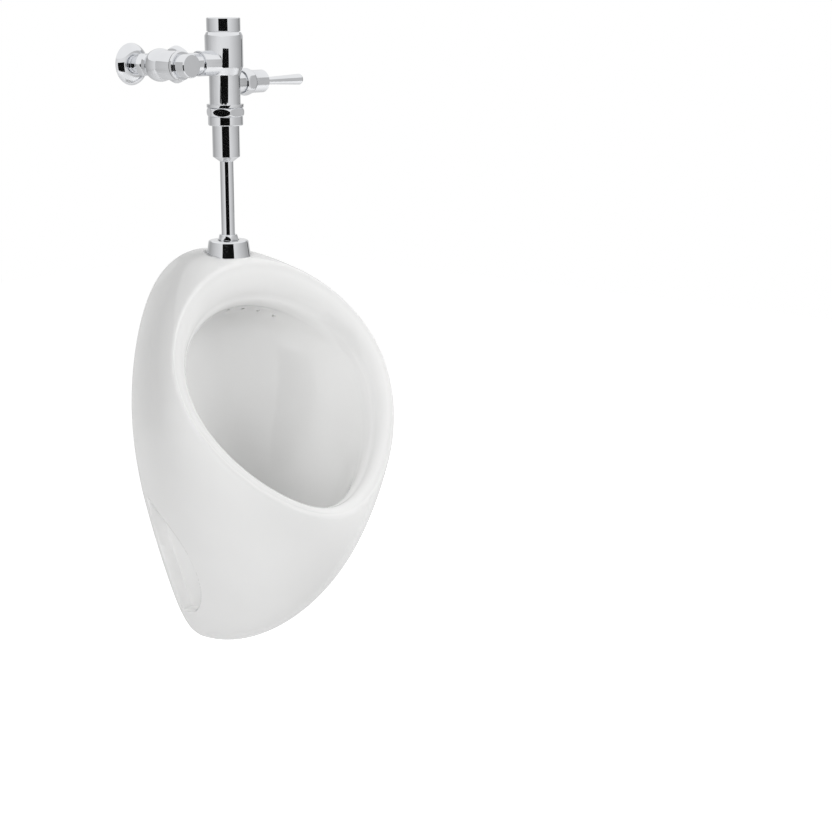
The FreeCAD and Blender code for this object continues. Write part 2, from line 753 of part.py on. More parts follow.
def channel_point(turn):
    """The middle of the flush channel, so many degrees round from the top."""
    t = math.radians(turn)
    s = (1 - math.cos(t)) / 2
    return at(CHANNEL_HALF_WIDTH * math.sin(t),
              CHANNEL_F + (CHANNEL_LIP_F - CHANNEL_F) * s,
              CHANNEL_Z + (CHANNEL_LIP_Z - CHANNEL_Z) * s)


def channel_tube(radius):
    """A round tube bent along the flush channel, with round ends."""
    turns = [CHANNEL_HALF_SWEEP * (2.0 * i / CHANNEL_STEPS - 1) for i in range(CHANNEL_STEPS + 1)]
    points = [channel_point(turn) for turn in turns]
    path = Part.BSplineCurve()
    path.interpolate(Points=points)
    start = Part.Wire([Part.Circle(points[0], path.tangent(0)[0], radius).toShape()])
    tube = Part.Wire([path.toShape()]).makePipeShell([start], True, True)
    ends = [Part.makeSphere(radius, points[0]), Part.makeSphere(radius, points[-1])]
    return tube.fuse(ends)


def hanger_tabs():
    """The two tabs behind the bowl that hang on the wall brackets."""
    tabs = []
    for side in (-1, 1):
        inner_x = side * (HANGER_SPACING / 2 - TAB_REACH)
        outer_x = side * (OUTLINE_HALF_WIDTH - FLANGE_WIDTH / 2)
        tabs.append(box_between(min(inner_x, outer_x), max(inner_x, outer_x),
                                TAB_BACK_F, TAB_BACK_F + TAB_THICKNESS,
                                TAB_SEAT_Z, TAB_SEAT_Z + TAB_HEIGHT))
    return tabs


def bowl():
    """The glazed bowl: outer skin, ring and basin in one hollow casting."""
    strips = bowl_strips()
    faces = []
    for rows in strips:
        faces = faces + strip(rows)
    faces.append(Part.Face(loop_wire(strips[0][0])))
    faces.append(Part.Face(loop_wire(strips[-1][-1])))
    body = closed_solid(faces)

    inset = outline_prism(RECESS_DEPTH, 0, RECESS_REACH)
    recess = recess_block(0, RECESS_REACH).cut(inset)
    recess_wall = recess_block(RECESS_WALL, RECESS_REACH)
    recess_wall = recess_wall.cut(outline_prism(RECESS_DEPTH + RECESS_WALL, 0, RECESS_REACH))

    inlet = at(0, INLET_F, INLET_Z + SKIN)
    neck_length = INLET_Z + SKIN - INLET_NECK_Z
    inlet_hole = rod(inlet, -UP, INLET_HOLE_RADIUS, neck_length)
    inlet_well = rod(inlet, -UP, INLET_WELL_RADIUS, INLET_Z + SKIN - CHANNEL_Z)
    inlet_boss = rod(inlet, -UP, INLET_BOSS_RADIUS, INLET_Z + SKIN - CHANNEL_Z)
    seat = rod(at(0, INLET_F, INLET_Z), UP, COVER_SEAT_RADIUS, SKIN * 2)
    seat_pad = rod(at(0, INLET_F, INLET_Z - SEAT_PAD_HEIGHT), UP, COVER_SEAT_RADIUS,
                   SEAT_PAD_HEIGHT)

    well_top = at(0, WELL_F, WELL_TOP_Z)
    well = rod(at(0, WELL_F, WELL_FLOOR_Z), UP, WELL_RADIUS, WELL_TOP_Z - WELL_FLOOR_Z)
    well_block = rod(at(0, WELL_F, WELL_FLOOR_Z - OUTLET_WALL), UP,
                     STRAINER_SEAT_RADIUS + OUTLET_WALL, WELL_TOP_Z - WELL_FLOOR_Z + OUTLET_WALL)
    strainer_seat = rod(well_top, -UP, STRAINER_SEAT_RADIUS, STRAINER_SEAT_DEPTH)
    outlet = rod(at(0, 0, OUTLET_Z), OUT, OUTLET_RADIUS, WELL_F)
    outlet_block = rod(at(0, OUTLET_FACE_F, OUTLET_Z), OUT, OUTLET_RADIUS + OUTLET_WALL,
                       WELL_F - OUTLET_FACE_F)
    outlet_block = outlet_block.fuse(well_block)

    sprays = []
    count = SPRAY_HOLES_EACH_SIDE
    for n in range(-count, count + 1):
        direction = V(0, -SPRAY_FORWARD, -SPRAY_DROP)
        sprays.append(rod(channel_point(n * SPRAY_HOLE_TURN), direction, SPRAY_HOLE_RADIUS,
                          SPRAY_LENGTH))

    shape = body.cut(hollow(strips))
    for block in [recess_wall, inlet_boss, channel_tube(CHANNEL_RADIUS + CHANNEL_WALL),
                  outlet_block] + hanger_tabs():
        shape = shape.fuse(block.common(body))
    shape = shape.fuse(seat_pad)
    for gap in [recess, channel_tube(CHANNEL_RADIUS), inlet_well, inlet_hole, seat,
                strainer_seat, well, outlet] + sprays:
        shape = shape.cut(gap)
    return shape


def turned(profile, centre, direction):
    """A solid turned from (radius, height) points round an axis through a point."""
    points = [V(r, 0, h) for r, h in profile]
    face = Part.Face(Part.makePolygon(points + [points[0]]))
    solid = face.revolve(V(0, 0, 0), UP, 360)
    solid.Placement = FreeCAD.Placement(centre, FreeCAD.Rotation(UP, direction))
    return solid


def ring(centre, direction, outer, inner, length):
    """A plain round ring or sleeve."""
    return turned([(inner, 0), (outer, 0), (outer, length), (inner, length)], centre, direction)


def barrel_nut(centre, direction, flats, corners, bore, length, end_share=NUT_END_SHARE):
    """A hexagon nut whose corners are rounded off towards both faces."""
    side = flats / math.sqrt(3)
    points = [V(side * math.cos(math.radians(60 * i)), side * math.sin(math.radians(60 * i)), 0)
              for i in range(7)]
    prism = Part.Face(Part.makePolygon(points)).extrude(UP * length)
    end = flats / 2 * end_share
    arc = Part.Arc(V(end, 0, 0), V(corners / 2, 0, length / 2), V(end, 0, length)).toShape()
    rest = Part.makePolygon([V(end, 0, length), V(0, 0, length), V(0, 0, 0), V(end, 0, 0)])
    barrel = Part.Face(Part.Wire([arc] + rest.Edges)).revolve(V(0, 0, 0), UP, 360)
    nut = prism.common(barrel).cut(rod(V(0, 0, -length), UP, bore, 3 * length))
    nut.Placement = FreeCAD.Placement(centre, FreeCAD.Rotation(UP, direction))
    return nut


def softened(shape, radius, wanted):
    """The shape with some edges rounded, where they can be."""
    edges = [edge for edge in shape.Edges if wanted(edge)]
    return shape.makeFillet(radius, edges) if edges else shape


def valve(h):
    """A point of the valve's upright axis, so high above the cover's seat."""
    return at(0, INLET_F, INLET_Z + h)


def upright(profile):
    """A piece turned round the valve's axis, heights above the cover's seat."""
    return turned(profile, valve(0), UP)


def lying(profile, h):
    """A piece turned round an axis along X through the valve's axis, places along X."""
    return turned(profile, valve(h), RIGHT)


def stop_turned(profile):
    """A piece turned round the stop valve's axis, places out of the wall."""
    return turned(profile, at(STOP_X, 0, INLET_Z + TAIL_H), OUT)


def spud_cover():
    """The conical cover over the joint of tube and bowl."""
    slope = (COVER_LOW_RADIUS - COVER_TOP_RADIUS) / COVER_HEIGHT
    top_in = COVER_HEIGHT - COVER_WALL
    outer = upright([(0, 0), (COVER_LOW_RADIUS, 0), (COVER_TOP_RADIUS, COVER_HEIGHT),
                     (0, COVER_HEIGHT)])
    outer = softened(outer, COVER_ROUND,
                     lambda e: abs(e.BoundBox.ZMin - valve(COVER_HEIGHT).z) < SLIDE_GAP
                     and e.BoundBox.XLength > COVER_TOP_RADIUS)
    low_in = COVER_LOW_RADIUS - COVER_WALL
    inner = upright([(0, 0), (low_in, 0), (low_in - slope * top_in, top_in), (0, top_in)])
    inner = softened(inner, COVER_ROUND - COVER_WALL,
                     lambda e: abs(e.BoundBox.ZMin - valve(top_in).z) < SLIDE_GAP
                     and e.BoundBox.XLength > COVER_TOP_RADIUS)
    hole = rod(valve(0), UP, COVER_HOLE_RADIUS, 2 * COVER_HEIGHT)
    return outer.cut(inner).cut(hole)


def flush_tube():
    """The flush tube with its cone and the wide sleeve of the vacuum breaker."""
    low_in = TUBE_RADIUS - TUBE_WALL
    wide_in = BREAKER_TUBE_RADIUS - TUBE_WALL
    flange_top = BREAKER_TUBE_FLANGE_H + BREAKER_TUBE_FLANGE_THICKNESS
    return upright([(low_in, TUBE_LOW_H), (TUBE_RADIUS, TUBE_LOW_H),
                    (TUBE_RADIUS, TUBE_CONE_LOW_H), (BREAKER_TUBE_RADIUS, TUBE_CONE_HIGH_H),
                    (BREAKER_TUBE_RADIUS, BREAKER_TUBE_FLANGE_H),
                    (BREAKER_TUBE_FLANGE_RADIUS, BREAKER_TUBE_FLANGE_H),
                    (BREAKER_TUBE_FLANGE_RADIUS, flange_top), (wide_in, flange_top),
                    (wide_in, TUBE_CONE_HIGH_H + TUBE_WALL),
                    (low_in, TUBE_CONE_LOW_H + TUBE_WALL)])


def spud():
    """The threaded sleeve that joins the flush tube to the bowl's inlet."""
    bore = TUBE_RADIUS + SLIDE_GAP
    flange_top = SPUD_FLANGE_H + SPUD_FLANGE_THICKNESS
    return upright([(bore, SPUD_LOW_H), (SPUD_SLEEVE_RADIUS, SPUD_LOW_H),
                    (SPUD_SLEEVE_RADIUS, SPUD_FLANGE_H), (SPUD_FLANGE_RADIUS, SPUD_FLANGE_H),
                    (SPUD_FLANGE_RADIUS, flange_top), (SPUD_THREAD_RADIUS, flange_top),
                    (SPUD_THREAD_RADIUS, SPUD_TOP_H), (bore, SPUD_TOP_H)])


def spud_nut():
    """The small nut that grips the flush tube."""
    length = SPUD_NUT_TOP_H - SPUD_NUT_LOW_H
    nut = barrel_nut(valve(SPUD_NUT_LOW_H), UP, SPUD_NUT_FLATS, SPUD_NUT_CORNERS,
                     TUBE_RADIUS + SLIDE_GAP, length)
    thread = rod(valve(SPUD_NUT_LOW_H), UP, SPUD_THREAD_RADIUS + SLIDE_GAP, length - SPUD_NUT_LIP)
    return nut.cut(thread)


def coupling_nut():
    """The nut with a plain skirt that joins the wide tube to the valve body."""
    hexagon = barrel_nut(valve(COUPLING_HEX_H), UP, COUPLING_FLATS, COUPLING_CORNERS,
                         COUPLING_BORE_RADIUS, COUPLING_TOP_H - COUPLING_HEX_H,
                         COUPLING_END_SHARE)
    skirt = upright([(COUPLING_LIP_RADIUS, COUPLING_LOW_H),
                     (COUPLING_SKIRT_RADIUS - CAP_EDGE, COUPLING_LOW_H),
                     (COUPLING_SKIRT_RADIUS, COUPLING_LOW_H + CAP_EDGE),
                     (COUPLING_SKIRT_RADIUS, COUPLING_HEX_H),
                     (COUPLING_BORE_RADIUS, COUPLING_HEX_H),
                     (COUPLING_BORE_RADIUS, BREAKER_TUBE_FLANGE_H),
                     (COUPLING_LIP_RADIUS, BREAKER_TUBE_FLANGE_H)])
    return hexagon.fuse(skirt)


def breaker():
    """The slotted cup of the vacuum breaker."""
    flange_low = BREAKER_TUBE_FLANGE_H + BREAKER_TUBE_FLANGE_THICKNESS
    flange_top = flange_low + BREAKER_FLANGE_THICKNESS
    inner = BREAKER_RADIUS - BREAKER_WALL
    cup = upright([(inner, BREAKER_LOW_H + BREAKER_WALL), (FLAP_RADIUS - 4 * BREAKER_WALL,
                   BREAKER_LOW_H + BREAKER_WALL), (FLAP_RADIUS - 4 * BREAKER_WALL, BREAKER_LOW_H),
                   (BREAKER_RADIUS, BREAKER_LOW_H), (BREAKER_RADIUS, flange_low),
                   (BREAKER_FLANGE_RADIUS, flange_low), (BREAKER_FLANGE_RADIUS, flange_top),
                   (inner, flange_top)])
    height = BREAKER_WINDOW_HIGH_H - BREAKER_WINDOW_LOW_H
    for i in range(BREAKER_WINDOWS):
        window = Part.makeBox(BREAKER_WINDOW_WIDTH, 2 * BREAKER_RADIUS, height,
                              V(-BREAKER_WINDOW_WIDTH / 2, 0, BREAKER_WINDOW_LOW_H))
        window.rotate(V(0, 0, 0), UP, 360.0 * i / BREAKER_WINDOWS)
        window.translate(valve(0))
        cup = cup.cut(window)
    return cup


def flap():
    """The rubber sleeve inside the vacuum breaker."""
    inner = FLAP_RADIUS - FLAP_WALL
    lip = BREAKER_RADIUS - BREAKER_WALL
    top = BREAKER_TUBE_FLANGE_H + BREAKER_TUBE_FLANGE_THICKNESS
    return upright([(inner, FLAP_LOW_H), (FLAP_RADIUS, FLAP_LOW_H), (FLAP_RADIUS, FLAP_HIGH_H),
                    (lip, FLAP_HIGH_H), (lip, top), (inner, top)])


def valve_body():
    """The cast body: upper chamber, lower chamber and the bosses for handle and tail."""
    outside = upright([(0, BODY_LOW_H), (BODY_THREAD_RADIUS, BODY_LOW_H),
                       (BODY_THREAD_RADIUS, BODY_COLLAR_LOW_H),
                       (BODY_COLLAR_RADIUS, BODY_COLLAR_LOW_H),
                       (BODY_COLLAR_RADIUS, BODY_COLLAR_TOP_H),
                       (BODY_LOWER_RADIUS, BODY_COLLAR_TOP_H),
                       (BODY_LOWER_RADIUS, BODY_CONE_LOW_H),
                       (BODY_UPPER_RADIUS, BODY_CONE_TOP_H),
                       (BODY_UPPER_RADIUS, BODY_SHOULDER_LOW_H),
                       (BODY_SHOULDER_RADIUS, BODY_SHOULDER_TOP_H),
                       (BODY_NECK_RADIUS, BODY_SHOULDER_TOP_H),
                       (BODY_NECK_RADIUS, BODY_TOP_H), (0, BODY_TOP_H)])
    handle_boss = lying([(0, 0), (HANDLE_BOSS_RADIUS, 0), (HANDLE_BOSS_RADIUS, HANDLE_BOSS_X),
                         (HANDLE_THREAD_RADIUS, HANDLE_BOSS_X),
                         (HANDLE_THREAD_RADIUS, HANDLE_THREAD_X), (0, HANDLE_THREAD_X)], HANDLE_H)
    tail_boss = rod(valve(TAIL_H), LEFT, TAIL_BOSS_RADIUS, -TAIL_BOSS_X)
    shape = outside.fuse(handle_boss).fuse(tail_boss)
    chamber = upright([(0, SEAT_LOW_H), (SEAT_RADIUS, SEAT_LOW_H), (SEAT_RADIUS, SEAT_TOP_H),
                       (CHAMBER_RADIUS, SEAT_TOP_H), (CHAMBER_RADIUS, BODY_TOP_H),
                       (0, BODY_TOP_H)])
    lower = upright([(0, BODY_LOW_H), (BODY_LOWER_BORE, BODY_LOW_H),
                     (BODY_LOWER_BORE, BODY_LOWER_BORE_TOP_H),
                     (BODY_PORT_RADIUS, BODY_LOWER_BORE_TOP_H), (BODY_PORT_RADIUS, SEAT_LOW_H),
                     (0, SEAT_LOW_H)])
    handle_bore = rod(valve(HANDLE_H), RIGHT, HANDLE_BOSS_BORE, 2 * HANDLE_THREAD_X)
    tail_bore = turned([(0, 0), (TAIL_PORT_RADIUS, 0), (TAIL_PORT_RADIUS, -TAIL_BOSS_BORE_X),
                        (TAIL_BOSS_BORE, -TAIL_BOSS_BORE_X), (TAIL_BOSS_BORE, -TAIL_SEAL_X
                        - TAIL_SEAL_LENGTH), (TAIL_SEAL_RADIUS, -TAIL_SEAL_X - TAIL_SEAL_LENGTH),
                        (TAIL_SEAL_RADIUS, -TAIL_SEAL_X), (TAIL_BOSS_BORE, -TAIL_SEAL_X),
                        (TAIL_BOSS_BORE, -TAIL_BOSS_X), (0, -TAIL_BOSS_X)], valve(TAIL_H), LEFT)
    for gap in (chamber, lower, handle_bore, tail_bore):
        shape = shape.cut(gap)
    return shape


def main_seat():
    """The seat ring pressed into the body between its two chambers."""
    return upright([(SEAT_BORE, SEAT_LOW_H), (SEAT_RADIUS, SEAT_LOW_H), (SEAT_RADIUS, SEAT_TOP_H),
                    (SEAT_LIP_RADIUS, SEAT_TOP_H), (SEAT_LIP_RADIUS, SEAT_LIP_TOP_H),
                    (SEAT_BORE, SEAT_LIP_TOP_H)])


def top_cap():
    """The flat round cap screwed on the body."""
    return upright([(CAP_INNER_RADIUS, CAP_LOW_H), (CAP_RADIUS, CAP_LOW_H),
                    (CAP_RADIUS, CAP_TOP_H - CAP_EDGE), (CAP_RADIUS - CAP_EDGE, CAP_TOP_H),
                    (0, CAP_TOP_H), (0, CAP_TOP_H - CAP_THICKNESS),
                    (CAP_INNER_RADIUS, CAP_TOP_H - CAP_THICKNESS)])


def inner_cover():
    """The moulded cover that closes the chamber under the cap."""
    top = BODY_TOP_H + COVER_PLATE_THICKNESS
    dome_in = COVER_DOME_RADIUS - COVER_PLATE_THICKNESS
    return upright([(0, BODY_TOP_H), (dome_in, BODY_TOP_H), (dome_in, COVER_DOME_LOW_H),
                    (COVER_DOME_RADIUS, COVER_DOME_LOW_H), (COVER_DOME_RADIUS, BODY_TOP_H),
                    (COVER_PLATE_RADIUS, BODY_TOP_H), (COVER_PLATE_RADIUS, top), (0, top)])


def piston():
    """The flush piston: a cup with a guide that reaches down through the seat."""
    inner = PISTON_RADIUS - PISTON_WALL
    guide_in = PISTON_GUIDE_RADIUS - PISTON_GUIDE_WALL
    return upright([(guide_in, PISTON_GUIDE_LOW_H), (PISTON_GUIDE_RADIUS, PISTON_GUIDE_LOW_H),
                    (PISTON_GUIDE_RADIUS, PISTON_LOW_H), (PISTON_RADIUS, PISTON_LOW_H),
                    (PISTON_RADIUS, PISTON_RING_LOW_H), (PISTON_RING_GROOVE, PISTON_RING_LOW_H),
                    (PISTON_RING_GROOVE, PISTON_RING_HIGH_H), (PISTON_RADIUS, PISTON_RING_HIGH_H),
                    (PISTON_RADIUS, PISTON_TOP_H), (inner, PISTON_TOP_H),
                    (inner, PISTON_FLOOR_H), (PISTON_HOLE_RADIUS, PISTON_FLOOR_H),
                    (PISTON_HOLE_RADIUS, PISTON_LOW_H), (guide_in, PISTON_LOW_H)])


def piston_ring():
    """The rubber ring round the piston."""
    return upright([(PISTON_RING_GROOVE, PISTON_RING_LOW_H),
                    (PISTON_RING_RADIUS, PISTON_RING_LOW_H),
                    (PISTON_RING_RADIUS, PISTON_RING_HIGH_H),
                    (PISTON_RING_GROOVE, PISTON_RING_HIGH_H)])


def piston_seal():
    """The rubber disc under the piston that shuts on the main seat."""
    return upright([(PISTON_GUIDE_RADIUS, SEAT_LIP_TOP_H), (PISTON_SEAL_RADIUS, SEAT_LIP_TOP_H),
                    (PISTON_SEAL_RADIUS, PISTON_LOW_H), (PISTON_GUIDE_RADIUS, PISTON_LOW_H)])


def relief_valve():
    """The small valve in the piston whose stem the plunger pushes aside."""
    return upright([(0, RELIEF_STEM_LOW_H), (RELIEF_STEM_RADIUS, RELIEF_STEM_LOW_H),
                    (RELIEF_STEM_RADIUS, PISTON_FLOOR_H), (RELIEF_DISC_RADIUS, PISTON_FLOOR_H),
                    (RELIEF_DISC_RADIUS, PISTON_FLOOR_H + RELIEF_DISC_THICKNESS),
                    (0, PISTON_FLOOR_H + RELIEF_DISC_THICKNESS)])


def handle_seal():
    """The rubber ring between the body's boss and the bushing."""
    return ring(valve(HANDLE_H) + RIGHT * HANDLE_THREAD_X, RIGHT, BUSHING_FLANGE_RADIUS,
                HANDLE_BOSS_BORE, HANDLE_SEAL_THICKNESS)


def bushing():
    """The bushing that guides the plunger and holds its spring."""
    low = HANDLE_THREAD_X + HANDLE_SEAL_THICKNESS
    top = low + BUSHING_FLANGE_THICKNESS
    return lying([(BUSHING_BORE, BUSHING_INNER_X), (BUSHING_RADIUS, BUSHING_INNER_X),
                  (BUSHING_RADIUS, low), (BUSHING_FLANGE_RADIUS, low),
                  (BUSHING_FLANGE_RADIUS, top), (BUSHING_POCKET_RADIUS, top),
                  (BUSHING_POCKET_RADIUS, BUSHING_POCKET_X), (BUSHING_BORE, BUSHING_POCKET_X)],
                 HANDLE_H)


def plunger():
    """The plunger that carries the lever's push to the relief valve."""
    skirt_x = PLUNGER_HEAD_X - PLUNGER_SKIRT_LENGTH
    return lying([(0, PLUNGER_TIP_X), (PLUNGER_RADIUS, PLUNGER_TIP_X),
                  (PLUNGER_RADIUS, PLUNGER_HEAD_X), (PLUNGER_SKIRT_INNER, PLUNGER_HEAD_X),
                  (PLUNGER_SKIRT_INNER, skirt_x), (PLUNGER_HEAD_RADIUS, skirt_x),
                  (PLUNGER_HEAD_RADIUS, PLUNGER_RIM_END_X),
                  (PLUNGER_NOSE_RADIUS, PLUNGER_RIM_END_X),
                  (PLUNGER_NOSE_RADIUS, PLUNGER_HEAD_END_X), (0, PLUNGER_HEAD_END_X)], HANDLE_H)


def plunger_spring():
    """The coil spring in the bushing's pocket."""
    start = BUSHING_POCKET_X + SPRING_WIRE_RADIUS
    length = SPRING_END_X - SPRING_WIRE_RADIUS - start
    helix = Part.makeHelix(SPRING_PITCH, length, SPRING_RADIUS)
    circle = Part.Circle(V(SPRING_RADIUS, 0, 0), V(0, 1, 0), SPRING_WIRE_RADIUS).toShape()
    coil = Part.Wire(helix).makePipeShell([Part.Wire([circle])], True, True)
    coil.Placement = FreeCAD.Placement(valve(HANDLE_H) + RIGHT * start,
                                       FreeCAD.Rotation(UP, RIGHT))
    return coil


def handle_socket():
    """The flanged socket in which the lever's disc rocks."""
    low = HANDLE_THREAD_X + HANDLE_SEAL_THICKNESS + BUSHING_FLANGE_THICKNESS
    return lying([(SOCKET_CAVITY_RADIUS, low), (BUSHING_FLANGE_RADIUS, low),
                  (BUSHING_FLANGE_RADIUS, low + SOCKET_FLANGE_THICKNESS),
                  (SOCKET_RADIUS, low + SOCKET_FLANGE_THICKNESS), (SOCKET_RADIUS, SOCKET_END_X),
                  (SOCKET_LIP_BORE, SOCKET_END_X), (SOCKET_LIP_BORE, SOCKET_LIP_X),
                  (SOCKET_CAVITY_RADIUS, SOCKET_LIP_X)], HANDLE_H)


def handle_nut():
    """The rounded hexagon nut that holds the socket to the body."""
    length = HANDLE_NUT_END_X - HANDLE_NUT_X
    start = valve(HANDLE_H) + RIGHT * HANDLE_NUT_X
    nut = barrel_nut(start, RIGHT, HANDLE_NUT_FLATS, HANDLE_NUT_CORNERS, HANDLE_NUT_LIP_BORE,
                     length)
    return nut.cut(rod(start, RIGHT, HANDLE_NUT_BORE, length - HANDLE_NUT_LIP))


def handle_collar():
    """The thin ring between the nut and the cup."""
    return ring(valve(HANDLE_H) + RIGHT * COLLAR_X, RIGHT, COLLAR_RADIUS, CUP_BORE,
                CUP_X - COLLAR_X - SLIDE_GAP)


def handle_cup():
    """The cup screwed on the socket, with the round opening the lever comes out of."""
    return lying([(CUP_BORE, CUP_X), (CUP_RADIUS, CUP_X), (CUP_RADIUS, CUP_END_X - CUP_EDGE),
                  (CUP_RADIUS - CUP_EDGE, CUP_END_X), (CUP_OPENING + CUP_EDGE, CUP_END_X),
                  (CUP_OPENING, CUP_END_X - CUP_EDGE), (CUP_OPENING, CUP_END_X - CUP_LIP),
                  (CUP_CAVITY_RADIUS, CUP_END_X - CUP_LIP), (CUP_CAVITY_RADIUS, CUP_CAVITY_X),
                  (CUP_BORE, CUP_CAVITY_X)], HANDLE_H)


def lever():
    """The tapered lever with the disc at its root."""
    body = lying([(0, LEVER_DISC_X), (LEVER_DISC_RADIUS, LEVER_DISC_X),
                  (LEVER_DISC_RADIUS, LEVER_DISC_END_X), (LEVER_ROOT_RADIUS, LEVER_DISC_END_X),
                  (LEVER_ROOT_RADIUS, CUP_END_X), (LEVER_END_RADIUS, LEVER_END_X),
                  (0, LEVER_END_X)], HANDLE_H)
    tip_x = valve(0).x + LEVER_END_X
    return softened(body, LEVER_ROUND, lambda e: abs(e.BoundBox.XMin - tip_x) < SLIDE_GAP
                    and e.BoundBox.ZLength > LEVER_END_RADIUS)


def tail_pipe():
    """The pipe between the stop valve and the valve body."""
    inner = TAIL_RADIUS - TAIL_WALL
    return lying([(inner, TAIL_INNER_X), (inner, TAIL_OUTER_X),
                  (TAIL_FLANGE_RADIUS, TAIL_OUTER_X), (TAIL_FLANGE_RADIUS, TAIL_FLANGE_X),
                  (TAIL_RADIUS, TAIL_FLANGE_X), (TAIL_RADIUS, TAIL_INNER_X)], TAIL_H)


def tail_seal():
    """The rubber ring round the tail pipe in the body's boss."""
    return lying([(TAIL_RADIUS, TAIL_SEAL_X), (TAIL_SEAL_RADIUS, TAIL_SEAL_X),
                  (TAIL_SEAL_RADIUS, TAIL_SEAL_X + TAIL_SEAL_LENGTH),
                  (TAIL_RADIUS, TAIL_SEAL_X + TAIL_SEAL_LENGTH)], TAIL_H)


def tail_gasket():
    """The flat rubber ring between the tail's flange and the stop's neck."""
    return lying([(TAIL_RADIUS - TAIL_WALL, STOP_NECK_X), (TAIL_FLANGE_RADIUS, STOP_NECK_X),
                  (TAIL_FLANGE_RADIUS, TAIL_OUTER_X), (TAIL_RADIUS - TAIL_WALL, TAIL_OUTER_X)],
                 TAIL_H)


def tail_nut():
    """The large rounded hexagon nut on the stop's neck."""
    length = TAIL_NUT_X - TAIL_NUT_END_X
    start = valve(TAIL_H) + RIGHT * TAIL_NUT_END_X
    nut = barrel_nut(start, RIGHT, TAIL_NUT_FLATS, TAIL_NUT_CORNERS, TAIL_RADIUS + SLIDE_GAP,
                     length)
    return nut.cut(rod(start, RIGHT, TAIL_NUT_BORE, length - TAIL_NUT_LIP))


def stop_body():
    """The angle body of the stop valve."""
    centre = at(STOP_X, INLET_F, INLET_Z + TAIL_H)
    barrel = stop_turned([(0, STOP_BACK_F), (STOP_BACK_RADIUS, STOP_BACK_F),
                          (STOP_BACK_RADIUS, INLET_F), (STOP_BARREL_RADIUS, INLET_F),
                          (STOP_BARREL_RADIUS, STOP_FRONT_F), (0, STOP_FRONT_F)])
    neck_end = STOP_NECK_X - STOP_X
    neck = turned([(0, 0), (STOP_NECK_RADIUS, 0), (STOP_NECK_RADIUS, TAIL_NUT_END_X - STOP_X),
                   (STOP_NECK_THREAD_RADIUS, TAIL_NUT_END_X - STOP_X),
                   (STOP_NECK_THREAD_RADIUS, neck_end), (0, neck_end)], centre, RIGHT)
    shape = barrel.fuse(Part.makeSphere(STOP_BULB_RADIUS, centre)).fuse(neck)
    inside = stop_turned([(0, STOP_BACK_F), (STOP_PIPE_BORE, STOP_BACK_F),
                          (STOP_PIPE_BORE, STOP_PIPE_F), (STOP_INLET_RADIUS, STOP_PIPE_F),
                          (STOP_INLET_RADIUS, STOP_SEAT_F), (STOP_CHAMBER_RADIUS, STOP_SEAT_F),
                          (STOP_CHAMBER_RADIUS, STOP_FRONT_F), (0, STOP_FRONT_F)])
    outlet = rod(centre, RIGHT, STOP_OUTLET_RADIUS, neck_end)
    return shape.cut(inside).cut(outlet)


def stop_bonnet():
    """The bonnet that closes the stop and guides its spindle."""
    low = STOP_FRONT_F + BONNET_SEAL_THICKNESS
    return stop_turned([(BONNET_BORE, BONNET_SHANK_F), (BONNET_SHANK_RADIUS, BONNET_SHANK_F),
                        (BONNET_SHANK_RADIUS, low), (BONNET_COLLAR_RADIUS, low),
                        (BONNET_COLLAR_RADIUS, BONNET_COLLAR_END_F - CAP_EDGE),
                        (BONNET_COLLAR_RADIUS - CAP_EDGE, BONNET_COLLAR_END_F),
                        (BONNET_NOSE_RADIUS, BONNET_COLLAR_END_F),
                        (BONNET_NOSE_RADIUS, BONNET_NOSE_F), (BONNET_BORE, BONNET_NOSE_F)])


def bonnet_seal():
    """The flat ring between the stop's body and its bonnet."""
    return ring(at(STOP_X, STOP_FRONT_F, INLET_Z + TAIL_H), OUT, STOP_BARREL_RADIUS,
                BONNET_SHANK_RADIUS, BONNET_SEAL_THICKNESS)


def stop_cap():
    """The round cap that covers the stop's screw."""
    inside_f = STOP_CAP_END_F - STOP_CAP_THICKNESS
    return stop_turned([(STOP_CAP_INNER_RADIUS, STOP_CAP_F), (STOP_CAP_RADIUS, STOP_CAP_F),
                        (STOP_CAP_RADIUS, STOP_CAP_END_F - STOP_CAP_EDGE),
                        (STOP_CAP_RADIUS - STOP_CAP_EDGE, STOP_CAP_END_F), (0, STOP_CAP_END_F),
                        (0, inside_f), (STOP_CAP_INNER_RADIUS, inside_f)])


def cap_ring():
    """The rubber ring that holds the stop's cap on the bonnet."""
    return ring(at(STOP_X, BONNET_COLLAR_END_F + 2 * SLIDE_GAP, INLET_Z + TAIL_H), OUT,
                STOP_CAP_INNER_RADIUS, BONNET_NOSE_RADIUS, CAP_RING_LENGTH)


def stop_spindle():
    """The stop's screw, with a slot for a screwdriver under the cap."""
    collar_low = BONNET_NOSE_F + BONNET_BORE - SPINDLE_RADIUS
    collar_top = collar_low + SPINDLE_COLLAR_THICKNESS
    screw = stop_turned([(0, SPINDLE_SCREW_F), (SPINDLE_SCREW_RADIUS, SPINDLE_SCREW_F),
                         (SPINDLE_SCREW_RADIUS, BONNET_SHANK_F), (SPINDLE_RADIUS, BONNET_SHANK_F),
                         (SPINDLE_RADIUS, collar_low), (SPINDLE_COLLAR_RADIUS, collar_low),
                         (SPINDLE_COLLAR_RADIUS, collar_top), (SPINDLE_RADIUS, collar_top),
                         (SPINDLE_RADIUS, SPINDLE_END_F), (0, SPINDLE_END_F)])
    height = INLET_Z + TAIL_H
    slot = box_between(STOP_X - 2 * SPINDLE_RADIUS, STOP_X + 2 * SPINDLE_RADIUS,
                       SPINDLE_END_F - SPINDLE_SLOT_DEPTH, SPINDLE_END_F,
                       height - SPINDLE_SLOT_WIDTH / 2, height + SPINDLE_SLOT_WIDTH / 2)
    return screw.cut(slot)


